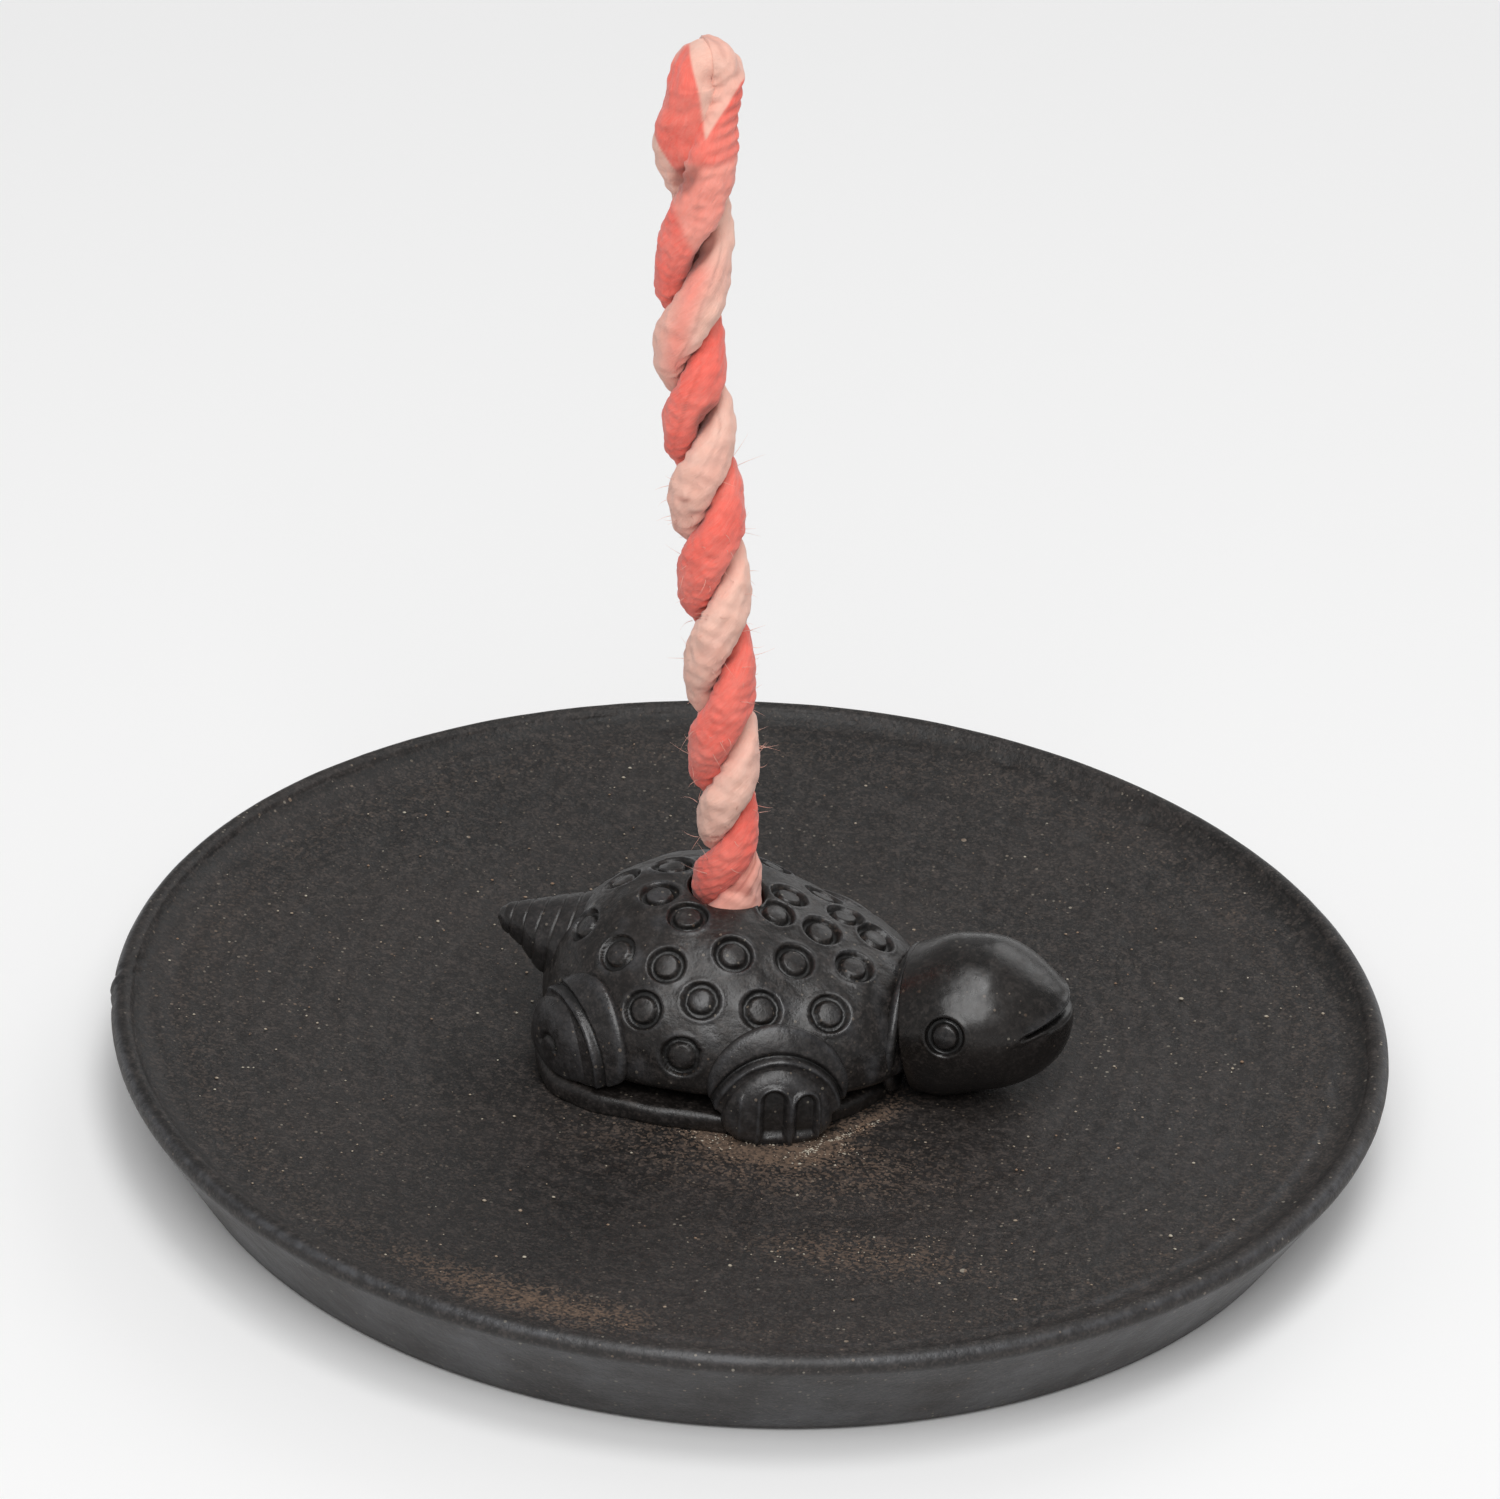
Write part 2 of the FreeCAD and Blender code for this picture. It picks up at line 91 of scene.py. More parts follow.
class TortoiseSizes(bpy.types.PropertyGroup):
    """Sizes of the tortoise, measured from its socket and the dish floor."""

    place_x: length("Place X", -2.0, "Socket from the dish's middle, along the heading")
    place_y: length("Place Y", -1.6, "Socket from the dish's middle, to the left")
    peak_x: length("Shell peak", -2.0, "Highest point of the shell along its length")
    shell_rear: length("Shell rear", 14.6, "Shell length behind its peak")
    shell_front: length("Shell front", 21.2, "Shell length before its peak")
    shell_half_width: length("Shell half width", 15.0, "Half the shell's width")
    shell_equator: length("Shell edge height", 4.5, "Height of the shell's widest line")
    shell_crown: length("Shell crown", 12.8, "Height of the dome above its widest line")
    shell_under: length("Shell under", 4.0, "Depth of the tucked underside")
    ring_radius: length("Ring radius", 1.42, "Middle radius of a stamped ring's groove")
    ring_groove: length("Ring groove", 0.27, "Half width of a stamped ring's groove")
    ring_depth: length("Ring depth", 0.55, "Depth of a stamped ring's groove")
    socket_x: length("Socket X", -0.6, "Socket's mouth along the shell")
    socket_radius: length("Socket radius", 3.4, "Radius of the socket")
    socket_depth: length("Socket depth", 12.6, "Depth of the socket")
    belly_thickness: length("Belly thickness", 1.8, "Thickness of the belly plate")
    belly_front: length("Belly front", 16.5, "Belly plate before the socket")
    belly_rear: length("Belly rear", 16.0, "Belly plate behind the socket")
    belly_half_width: length("Belly half width", 15.2, "Half the belly plate's width")
    belly_round: length("Belly rounding", 0.75, "Rounding of the belly plate's upper edge")
    collar_x: length("Collar X", 16.3, "Middle of the collar along the heading")
    collar_height: length("Collar height", 5.9, "Middle of the collar above the floor")
    collar_half_width: length("Collar half width", 7.15, "Half the width inside the collar's bead")
    collar_half_height: length("Collar half height", 5.6, "Half the height inside the collar's bead")
    collar_bead: length("Collar bead", 0.75, "How far the collar's bead stands out")
    collar_half_thickness: length("Collar half thickness", 0.6, "Half the bead's width along the heading")
    head_x: length("Head X", 21.8, "Middle of the head along the heading")
    head_height: length("Head height", 7.6, "Middle of the head above the floor")
    head_front: length("Head front", 9.9, "Head length before its middle")
    head_rear: length("Head rear", 9.0, "Head length behind its middle")
    head_half_width: length("Head half width", 8.0, "Half the head's width")
    head_half_height: length("Head half height", 7.0, "Half the head's height")
    eye_x: length("Eye X", -0.35, "Eye from the head's middle along the heading")
    eye_height: length("Eye height", 1.6, "Eye above the head's middle")
    head_pitch: turn("Head pitch", 9.0, "How far the beak points up")
    tail_length: length("Tail length", 8.3, "Length of the tail's cone")
    tail_radius: length("Tail radius", 5.1, "Radius of the tail where it meets the shell")
    tail_tip: length("Tail tip", 0.9, "Radius near the tail's tip")
    tail_x: length("Tail X", -13.2, "Start of the tail along the heading")
    tail_height: length("Tail height", 8.4, "Start of the tail above the floor")
    tail_rise: turn("Tail rise", 11.0, "How far the tail points up")


class RopeSizes(bpy.types.PropertyGroup):
    """Sizes of the incense rope."""

    height: length("Length", 91.2, "Length of the folded rope")
    lean: turn("Lean", 5.8, "Lean of the socket toward the tail")
    offset: length("Ply offset", 1.6, "From the rope's middle to a ply's middle")
    half_thickness: length("Ply half thickness", 1.55, "Half a ply's thickness across the rope")
    half_width: length("Ply half width", 2.0, "Half a ply's width round the rope")
    fold_offset: length("Fold offset", 1.4, "Ply offset at the fold")
    fold_rise: length("Fold rise", 2.2, "Height of the fold's arch")
    fold_nod: length("Fold nod", 0.6, "How far the fold sits toward the head")
    fold_length: length("Fold length", 12.0, "Length over which the plies part below the fold")
    dye_turn: turn("Dye turn", 11.0, "Turn of the side that the two-toned wraps face")
    seat_gap: length("Seat gap", 1.4, "Gap below the rope in its socket")


class Finishes(bpy.types.PropertyGroup):
    """Colours of the materials."""

    clay_dark: tone("Clay, dark", (0.005, 0.0043, 0.004), "Smoke-blackened clay")
    clay_light: tone("Clay, light", (0.0152, 0.0125, 0.0113), "Greyer clay between the smoke marks")
    # Also the tone of the painted highlights, reflections and light that the lightening mark carries
    clay_polish_and_sheen: tone("Clay, polished", (0.062, 0.063, 0.068), "Rubbed edges")
    dust: tone("Dust", (0.25, 0.16, 0.105), "Tan incense powder")
    ash: tone("Ash", (0.46, 0.42, 0.34), "Pale specks of ash")
    red_paper: tone("Red paper", (0.96, 0.15, 0.108), "Coral red paper")
    pale_paper: tone("Pale paper", (0.87, 0.55, 0.45), "Pale peach paper")
    powder: tone("Powder", (0.19, 0.115, 0.07), "Incense powder")
    table: tone("Table", (0.92, 0.92, 0.92), "Table top and backdrop")


def sizes(part):
    """A part's sizes by name: lengths in millimetres, angles in radians."""
    group = getattr(bpy.context.scene, "burner_" + part)
    found = {}
    for key in group.__annotations__:
        scale = MM if group.bl_rna.properties[key].unit == "LENGTH" else 1.0
        found[key] = getattr(group, key) / scale
    return SimpleNamespace(**found)


def finishes():
    """The colours of the materials."""
    return bpy.context.scene.burner_finish


def ripple(points, wave, seed, count=7):
    """Smooth unevenness between about -1 and 1: sine waves of about one length in scattered directions."""
    rng = np.random.default_rng(seed)
    heading = rng.normal(size=(count, 3))
    heading /= np.linalg.norm(heading, axis=1)[:, None]
    number = TAU / (wave * rng.uniform(0.7, 1.5, count))
    phase = rng.uniform(0, TAU, count)
    total = np.zeros(points.shape[:-1])
    for index in range(count):
        total += np.sin(points @ heading[index] * number[index] + phase[index])
    return total / math.sqrt(count)


def smooth(share):
    """Smooth step from 0 to 1."""
    share = np.clip(share, 0.0, 1.0)
    return share * share * (3.0 - 2.0 * share)


def bell(value, width):
    """Bell curve of the given half width."""
    return np.exp(-(value / width) ** 2)


def unit(vectors):
    """Vectors at length 1."""
    return vectors / np.maximum(np.linalg.norm(vectors, axis=-1, keepdims=True), 1e-12)


def grid_normals(points):
    """Normals of a grid whose columns close on themselves, from differences along both directions."""
    along = np.gradient(points, axis=0)
    around = (np.roll(points, -1, axis=1) - np.roll(points, 1, axis=1)) / 2
    return unit(np.cross(around, along))


def grid_faces(rows, columns):
    """Quads of a grid with closed columns, and triangles to a pole vertex before and after it."""
    here = np.arange(columns)
    following = (here + 1) % columns
    row = np.arange(rows - 1)[:, None] * columns
    quads = np.stack([row + here, row + following, row + columns + following, row + columns + here], -1)
    first = rows * columns
    last = (rows - 1) * columns
    start = np.stack([np.full(columns, first), following, here], -1)
    end = np.stack([np.full(columns, first + 1), last + here, last + following], -1)
    return quads.reshape(-1, 4), np.concatenate([start, end])


def signed_volume(points, quads, triangles):
    """Six times the volume that the faces enclose, positive when they point outwards."""
    corners = np.concatenate([triangles, quads[:, [0, 1, 2]], quads[:, [0, 2, 3]]])
    a, b, c = points[corners[:, 0]], points[corners[:, 1]], points[corners[:, 2]]
    return float(np.einsum("ij,ij->", a, np.cross(b, c)))


def make_piece(name, surfaces, body, material, nodes=(), marks=()):
    """Turn closed grids, in millimetres, into one smooth mesh that rides on a body.

    A surface is (points, values): a grid whose columns close and whose first and last rows are closed by a
    pole, and a dict of one number per grid point for each mark, stored as point attributes."""
    all_points, all_quads, all_triangles = [], [], []
    values = {mark: [] for mark in marks}
    base = 0
    for points, given in surfaces:
        rows, columns = points.shape[:2]
        poles = np.stack([points[0].mean(axis=0), points[-1].mean(axis=0)])
        flat = np.concatenate([points.reshape(-1, 3), poles])
        quads, triangles = grid_faces(rows, columns)
        if signed_volume(flat - flat.mean(axis=0), quads, triangles) < 0:
            quads = quads[:, ::-1]
            triangles = triangles[:, ::-1]
        all_points.append(flat)
        all_quads.append(quads + base)
        all_triangles.append(triangles + base)
        for mark in marks:
            grid = np.broadcast_to(given.get(mark, 0.0), (rows, columns))
            ends = [grid[0].mean(), grid[-1].mean()]
            values[mark].append(np.concatenate([grid.reshape(-1), ends]))
        base += len(flat)
    points = np.concatenate(all_points) * MM
    quads = np.concatenate(all_quads)
    triangles = np.concatenate(all_triangles)
    corners = np.concatenate([quads.reshape(-1), triangles.reshape(-1)]).astype(np.int32)
    counts = np.concatenate([np.full(len(quads), 4), np.full(len(triangles), 3)])
    starts = np.concatenate([[0], np.cumsum(counts)[:-1]]).astype(np.int32)
    mesh = bpy.data.meshes.new(name)
    mesh.vertices.add(len(points))
    mesh.vertices.foreach_set("co", points.astype(np.float32).reshape(-1))
    mesh.loops.add(len(corners))
    mesh.loops.foreach_set("vertex_index", corners)
    mesh.polygons.add(len(starts))
    mesh.polygons.foreach_set("loop_start", starts)
    mesh.polygons.foreach_set("use_smooth", np.ones(len(starts), dtype=bool))
    mesh.update(calc_edges=True)
    for mark in marks:
        layer = mesh.attributes.new(mark, "FLOAT", "POINT")
        layer.data.foreach_set("value", np.concatenate(values[mark]).astype(np.float32))
    if mesh.validate():
        raise RuntimeError(name + " has faces that don't fit together")
    mesh.materials.append(material)
    piece = bpy.data.objects.new(name, mesh)
    bpy.context.scene.collection.objects.link(piece)
    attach(piece, body)
    if nodes:
        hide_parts(*nodes)
    return piece


def line(start, end, count):
    """Points on a straight line, the last one left out."""
    share = np.arange(count)[:, None] / count
    return np.asarray(start, float) * (1 - share) + np.asarray(end, float) * share


def arc(centre, radius, first, last, count):
    """Points on a circle between two angles in radians, the last one left out."""
    angle = first + (last - first) * np.arange(count) / count
    return np.stack([centre[0] + radius * np.cos(angle), centre[1] + radius * np.sin(angle)], -1)


def bend(start, corner, end, count):
    """Points of a parabola from start to end that heads for the corner, the last one left out."""
    share = np.arange(count)[:, None] / count
    start, corner, end = (np.asarray(point, float) for point in (start, corner, end))
    return (1 - share) ** 2 * start + 2 * share * (1 - share) * corner + share ** 2 * end


def waves(points, *parts):
    """Sum of ripples, each given as a height, a wave length, a seed and, where needed, a count."""
    return sum(part[0] * ripple(points, *part[1:]) for part in parts)


def turns(count):
    """Angles of the points of a closed ring."""
    return np.arange(count) * TAU / count


def clipped(**marks):
    """Marks kept between 0 and 1."""
    return {name: np.clip(values, 0, 1) for name, values in marks.items()}


# A stamped ring: how far off its plane it bites, then shares of the groove's half width and depth
STAMP_REACH = 1.2
GROOVE_FOOT = 1.45
GROOVE_SIDE = 0.8
LIP_PLACE = 2.1
LIP_RISE = 0.12
BUTTON_SAG = 0.3


def pressed(points, centre, normal, radius, groove, depth):
    """Sink a stamped ring: a steep-sided groove at one radius, a domed button in it and a low lip round it.

    Gives the moved points and how deep each lies in the groove, from 0 to 1."""
    away = points - centre
    height = away @ normal
    across = np.linalg.norm(away - height[..., None] * normal, axis=-1)
    near = smooth(2.0 - np.abs(height) / STAMP_REACH)
    trough = smooth((GROOVE_FOOT * groove - np.abs(across - radius)) / (GROOVE_SIDE * groove)) * near
    lip = bell(across - radius - LIP_PLACE * groove, GROOVE_SIDE * groove) * near
    button = smooth(1.6 - across / (radius - groove)) * near
    move = depth * (LIP_RISE * lip - trough - BUTTON_SAG * button * (across / radius) ** 2)
    return points + move[..., None] * normal, trough


# Materials

# The groove mark darkens toward near black as painted shade in grooves, pits, creases, hollows and under
# parts; the second mark lightens toward the polish tone, for rubbing and for painted highlights, reflections
# and light.
CLAY_MARKS = ("groove", "wear", "dust")
PAPER_MARKS = ("tone", "crease", "lay", "girth")
CLAY_LOOKS = {
    "dish": {"gloss": 0.45, "specks": 1.3, "cloud_size": 55.0, "tooth": 1.0},
    "shell": {"gloss": 0.27, "specks": 1.0, "cloud_size": 90.0, "tooth": 0.62},
    "head": {"gloss": 0.2, "specks": 0.5, "cloud_size": 80.0, "tooth": 0.2},
}
BIG_SPECKS = {"scale": 420.0, "share": 0.022, "size": 0.11}
FINE_SPECKS = {"scale": 1900.0, "share": 0.17, "size": 0.22}
GROOVE_SHADE_TONE = (0.006, 0.006, 0.006)
FIBRE_TONE = (0.86, 0.66, 0.6)
CREASE_SHADE_TONE = (0.3, 0.07, 0.05)
WARM_SHARES = (0.98, 0.86, 0.82)
LAY_STRETCH = 0.22
POWDER_CLOUDS = 700.0
CRUMB_CLOUDS = 900.0


def add(tree, kind, settings=None, **inputs):
    """A node with its settings and its unlinked inputs set, or linked where a socket is given."""
    node = tree.nodes.new(kind)
    for key, value in (settings or {}).items():
        setattr(node, key, value)
    for key, value in inputs.items():
        numbered = key[0] == "i" and key[1:].isdigit()
        feed(tree, node.inputs[int(key[1:])] if numbered else node.inputs[key], value)
    return node


def feed(tree, socket, value):
    """Link a socket to an input, or set the input's own value."""
    if isinstance(value, bpy.types.NodeSocket):
        tree.links.new(value, socket)
    else:
        socket.default_value = value


def blend(tree, factor, first, second):
    """Colour mix of two sockets or colours."""
    node = add(tree, "ShaderNodeMix", {"data_type": "RGBA"}, i0=factor)
    for index, value in ((6, first), (7, second)):
        if not isinstance(value, bpy.types.NodeSocket):
            value = tuple(value) + (1.0,)
        feed(tree, node.inputs[index], value)
    return node.outputs[2]


def math_node(tree, operation, first, second, clamp=False):
    """One arithmetic step."""
    settings = {"operation": operation, "use_clamp": clamp}
    return add(tree, "ShaderNodeMath", settings, i0=first, i1=second).outputs[0]


def times(tree, first, second):
    """Product of two sockets or numbers."""
    return math_node(tree, "MULTIPLY", first, second)


def plus(tree, first, second, clamp=False):
    """Sum of two sockets or numbers."""
    return math_node(tree, "ADD", first, second, clamp)


def remap(tree, value, low, high, new_low=0.0, new_high=1.0):
    """Linear remap, clamped."""
    settings = {"clamp": True}
    node = add(tree, "ShaderNodeMapRange", settings, i0=value, i1=low, i2=high, i3=new_low, i4=new_high)
    return node.outputs[0]


def darker(colour, share):
    """A colour with every part scaled."""
    return tuple(part * share for part in colour)


def new_group(name, inputs, outputs):
    """An empty shader node group with named sockets, its group nodes included."""
    tree = bpy.data.node_groups.new(name, "ShaderNodeTree")
    for socket in inputs:
        kind = "NodeSocketVector" if socket in ("Vector", "Lay") else "NodeSocketFloat"
        tree.interface.new_socket(socket, in_out="INPUT", socket_type=kind)
    for socket in outputs:
        tree.interface.new_socket(socket, in_out="OUTPUT", socket_type="NodeSocketFloat")
    return tree, tree.nodes.new("NodeGroupInput"), tree.nodes.new("NodeGroupOutput")


def noise(tree, place, scale, detail, roughness, distortion=0.0):
    """Value of a noise texture."""
    node = add(tree, "ShaderNodeTexNoise", Vector=place, Scale=scale, Detail=detail, Roughness=roughness,
               Distortion=distortion)
    return node.outputs[0]


def smoke_group():
    """Smoke-fired clay: cloudy patches, fine mottling and a grain of small cells."""
    tree, given, out = new_group("smoke_fired_clay", ("Vector", "Cloud size"), ("Cloud", "Mottle", "Grain"))
    place = given.outputs["Vector"]
    cloud = noise(tree, place, given.outputs["Cloud size"], 5.0, 0.6, 0.6)
    mottle = noise(tree, place, 900.0, 4.0, 0.65)
    cells = add(tree, "ShaderNodeTexVoronoi", Vector=place, Scale=4200.0)
    grain = add(tree, "ShaderNodeSeparateColor", i0=cells.outputs["Color"])
    tree.links.new(remap(tree, cloud, 0.33, 0.67), out.inputs["Cloud"])
    tree.links.new(remap(tree, mottle, 0.3, 0.7), out.inputs["Mottle"])
    tree.links.new(grain.outputs[0], out.inputs["Grain"])
    return tree


def speck_group():
    """Scattered specks of powder: small cells of a Voronoi pattern, most of them left out."""
    tree, given, out = new_group("powder_specks", ("Vector", "Scale", "Share", "Size"), ("Mask", "Tint"))
    cells = add(tree, "ShaderNodeTexVoronoi", Vector=given.outputs["Vector"], Scale=given.outputs["Scale"])
    parts = add(tree, "ShaderNodeSeparateColor", i0=cells.outputs["Color"])
    chosen = math_node(tree, "LESS_THAN", parts.outputs[0], given.outputs["Share"])
    reach = times(tree, given.outputs["Size"], plus(tree, parts.outputs[1], 0.35))
    inside = math_node(tree, "LESS_THAN", cells.outputs["Distance"], reach)
    tree.links.new(times(tree, chosen, inside), out.inputs["Mask"])
    tree.links.new(parts.outputs[2], out.inputs["Tint"])
    return tree


def fibre_group():
    """Handmade paper: soft mottling, long fine fibres along the strand and a fine tooth."""
    tree, given, out = new_group("paper_fibres", ("Vector", "Lay"), ("Mottle", "Fibre", "Tooth"))
    place = given.outputs["Vector"]
    mottle = noise(tree, place, 700.0, 6.0, 0.7)
    fibre = noise(tree, given.outputs["Lay"], 4.5, 3.0, 0.65, 1.2)
    tooth = noise(tree, place, 3300.0, 4.0, 0.7)
    tree.links.new(remap(tree, mottle, 0.3, 0.7), out.inputs["Mottle"])
    tree.links.new(remap(tree, fibre, 0.35, 0.65), out.inputs["Fibre"])
    tree.links.new(tooth, out.inputs["Tooth"])
    return tree


GROUP_BUILDERS = {"smoke_fired_clay": smoke_group, "powder_specks": speck_group, "paper_fibres": fibre_group}


def group_node(tree, name, **inputs):
    """A shared node group placed in a material; the group is built the first time it is asked for."""
    node = tree.nodes.new("ShaderNodeGroup")
    node.node_tree = bpy.data.node_groups.get(name) or GROUP_BUILDERS[name]()
    for key, value in inputs.items():
        feed(tree, node.inputs[key.replace("_", " ").capitalize()], value)
    return node.outputs


def new_material(name, roughness, specular=None):
    """A node material with only its Principled shader and output, and its object coordinates."""
    material = bpy.data.materials.new(name)
    material.use_nodes = True
    tree = material.node_tree
    shader = tree.nodes["Principled BSDF"]
    shader.inputs["Roughness"].default_value = roughness
    if specular is not None:
        shader.inputs["Specular IOR Level"].default_value = specular
    place = tree.nodes.new("ShaderNodeTexCoord").outputs["Object"]
    return material, tree, shader, place


def add_bump(tree, shader, strength, distance, height):
    """Fine relief for a shader."""
    bump = add(tree, "ShaderNodeBump", Strength=strength, Distance=distance, Height=height)
    tree.links.new(bump.outputs[0], shader.inputs["Normal"])


def mark_value(tree, name):
    """A point attribute as a socket."""
    return add(tree, "ShaderNodeAttribute", {"attribute_name": name}).outputs["Fac"]


def clay_material(name, gloss, specks, cloud_size, tooth):
    """Black smoke-fired clay: cloudy, worn on its edges, in the polish tone also where highlights,
    reflections and light are painted, with painted shade in its grooves and hollows, and powder in hollows.
    """
    material, tree, shader, place = new_material(name, gloss)
    finish = finishes()
    light = tuple(finish.clay_light)
    dust_tone = tuple(finish.dust)
    smoke = group_node(tree, "smoke_fired_clay", vector=place, cloud_size=cloud_size)
    cloud, mottle, grain = smoke["Cloud"], smoke["Mottle"], smoke["Grain"]
    big, fine = (group_node(tree, "powder_specks", vector=place, scale=kind["scale"],
                            share=kind["share"] * specks, size=kind["size"])
                 for kind in (BIG_SPECKS, FINE_SPECKS))
    groove, wear, dust = (mark_value(tree, mark) for mark in CLAY_MARKS)
    colour = blend(tree, cloud, tuple(finish.clay_dark), light)
    grainy = times(tree, mottle, remap(tree, grain, 0.45, 1.0))
    colour = blend(tree, times(tree, grainy, 0.9), colour, darker(light, 1.7 + 2.8 * tooth))
    blotch = times(tree, remap(tree, mottle, 0.45, 0.95), 0.55 * tooth)
    colour = blend(tree, blotch, colour, darker(light, 2.4))
    # Rubbing together with painted highlights, reflections and light, in the polish tone
    rub_and_sheen = times(tree, wear, remap(tree, mottle, 0.2, 0.9, 0.35, 1.0))
    colour = blend(tree, rub_and_sheen, colour, tuple(finish.clay_polish_and_sheen))
    # Painted shade in grooves, hollows, creases and under parts
    colour = blend(tree, times(tree, groove, 0.8), colour, GROOVE_SHADE_TONE)
    uneven = times(tree, math_node(tree, "SUBTRACT", grain, 0.5), 1.25)
    powder = remap(tree, plus(tree, dust, uneven), 0.2, 1.25)
    powder = times(tree, powder, remap(tree, dust, 0.02, 0.25))
    sown = times(tree, fine["Mask"], remap(tree, cloud, 0.1, 0.9, 0.15, 0.75))
    flecks = math_node(tree, "MAXIMUM", big["Mask"], sown)
    fleck_tone = blend(tree, fine["Tint"], dust_tone, tuple(finish.ash))
    colour = blend(tree, times(tree, flecks, 0.55), colour, fleck_tone)
    colour = blend(tree, times(tree, powder, 0.5), colour, dust_tone)
    tree.links.new(colour, shader.inputs["Base Color"])
    rough = remap(tree, mottle, 0.0, 1.0, gloss, gloss + 0.16)
    rough = plus(tree, rough, times(tree, cloud, 0.08))
    rough = math_node(tree, "SUBTRACT", rough, times(tree, wear, 0.16))
    rough = plus(tree, rough, times(tree, powder, 0.4), clamp=True)
    tree.links.new(rough, shader.inputs["Roughness"])
    relief = plus(tree, times(tree, mottle, 0.6), times(tree, grain, 0.25))
    relief = plus(tree, relief, times(tree, flecks, 0.5))
    add_bump(tree, shader, 0.3 * tooth, 0.0004, relief)
    return material


def clay(kind):
    """One of the clay finishes, made once."""
    name = kind + "_clay"
    return bpy.data.materials.get(name) or clay_material(name, **CLAY_LOOKS[kind])


def clay_piece(name, surfaces, kind, node):
    """A piece of clay that stands for one CAD node."""
    make_piece(name, surfaces, BURNER, clay(kind), (node,), CLAY_MARKS)


def paper_material():
    """Dyed handmade paper: the dye follows the strand's tone mark, with painted shade in creases, real
    smudges and pale fibres.
    """
    material, tree, shader, place = new_material("dyed_paper", 0.85, 0.28)
    shader.inputs["Sheen Weight"].default_value = 0.25
    finish = finishes()
    dye, crease, lay, girth = (mark_value(tree, mark) for mark in PAPER_MARKS)
    along = add(tree, "ShaderNodeCombineXYZ", X=girth, Y=times(tree, lay, LAY_STRETCH)).outputs[0]
    fibres = group_node(tree, "paper_fibres", vector=place, lay=along)
    red = tuple(finish.red_paper)
    pale = tuple(finish.pale_paper)
    warm = tuple(part * share for part, share in zip(pale, WARM_SHARES))
    red_mix = blend(tree, fibres["Mottle"], red, darker(red, 0.8))
    pale_mix = blend(tree, fibres["Mottle"], pale, warm)
    colour = blend(tree, dye, red_mix, pale_mix)
    colour = blend(tree, times(tree, fibres["Fibre"], 0.1), colour, FIBRE_TONE)
    # Painted shade in creases, pleats, dimples and where the plies meet, with real smudges
    colour = blend(tree, times(tree, crease, 0.75), colour, CREASE_SHADE_TONE)
    tree.links.new(colour, shader.inputs["Base Color"])
    relief = plus(tree, times(tree, fibres["Fibre"], 0.4), times(tree, fibres["Tooth"], 0.6))
    add_bump(tree, shader, 0.5, 0.00015, relief)
    return material


def powder_material():
    """Ground incense: brown with lighter and darker grains."""
    material, tree, shader, place = new_material("incense_powder", 0.95)
    powder = tuple(finishes().powder)
    smoke = group_node(tree, "smoke_fired_clay", vector=place, cloud_size=POWDER_CLOUDS)
    colour = blend(tree, smoke["Mottle"], darker(powder, 0.5), powder)
    tree.links.new(colour, shader.inputs["Base Color"])
    add_bump(tree, shader, 0.8, 0.0003, smoke["Grain"])
    return material


def crumb_material():
    """Loose tan crumbs of incense powder, some of them pale ash."""
    material, tree, shader, place = new_material("powder_crumbs", 0.9)
    finish = finishes()
    tint = remap(tree, noise(tree, place, CRUMB_CLOUDS, 2.0, 0.5), 0.4, 0.6)
    tree.links.new(blend(tree, tint, tuple(finish.dust), tuple(finish.ash)), shader.inputs["Base Color"])
    return material


# Dish

DISH_COLUMNS = 520
FLAT_ROWS = 34
SLOPE_ROWS = 34
EDGE_ROWS = 22
STEP_ROWS = 4
CROWN_ROWS = 30
WALL_ROWS = 24
FOOT_ROWS = 12
BASE_ROWS = 10
FLOOR_ROWS = FLAT_ROWS + SLOPE_ROWS + EDGE_ROWS
CROWN_ROW = FLOOR_ROWS + STEP_ROWS + CROWN_ROWS // 2
WALL_REFLECTION_ROW = CROWN_ROW + 3
POLE_RADIUS = 0.4
RIM_INNER_END = math.radians(128)
EDGE_BEND_SHARE = 0.13
EDGE_STEP_SHARE = 0.75
CALM_BASE = 3.0
THROWN_RING_HEIGHT = 0.035
THROWN_RING_STEP = 2.6
RIM_LOWEST = 6.0
RIM_REACH = 3.2

# Hollows of the floor: how many pits, and the scars as X, Y and size, in millimetres
PIT_COUNT = 70
SCARS = ((24.0, 43.0, 1.0), (28.0, 46.0, 0.8), (32.0, 39.0, 0.9), (32.5, 27.5, 0.7), (5.0, 45.5, 0.8))
SCAR_STRETCH = 1.8
SCAR_DEPTH = 0.35

# Places on the floor as X, Y, half width and stretch along X and Y, in millimetres; headings in degrees
# The shaded place is darkened as painted shade, the sheen place lightened as painted sheen
SHADED_PLACE = (-4.0, -38.0, 11.0, 1.7, 1.0)
SHEEN_PLACE = (38.0, -6.0, 13.0, 1.0, 1.6)
STREWN_PLACE = (18.0, -33.0, 3.4, 2.6, 1.0)
FOLD_HEADING = 194.0
HEAD_HEADING = -30.0
DUST_HEADING = -97.5
DUST_END = math.radians(11.5)

# Powder round the paw, from the tortoise's place: the paw's middle and half sizes, and the ridge's line
PAW_MIDDLE = (6.8, -11.9)
PAW_HALVES = (5.6, 4.9)
RIDGE_START = (10.4, -15.6)
RIDGE_SLOPE = 1.33
RIDGE_SLANT = 1.66
PAW_SPREAD = (8.5, -17.0)


def spot(points, x, y, width, stretch_x=1.0, stretch_y=1.0):
    """Bell round a place on the floor, stretched along X or Y."""
    return bell(np.hypot((points[..., 0] - x) / stretch_x, (points[..., 1] - y) / stretch_y), width)


def turn_from(angle, degrees):
    """Angle from a heading, between minus and plus half a turn."""
    return (angle - math.radians(degrees) + math.pi) % TAU - math.pi


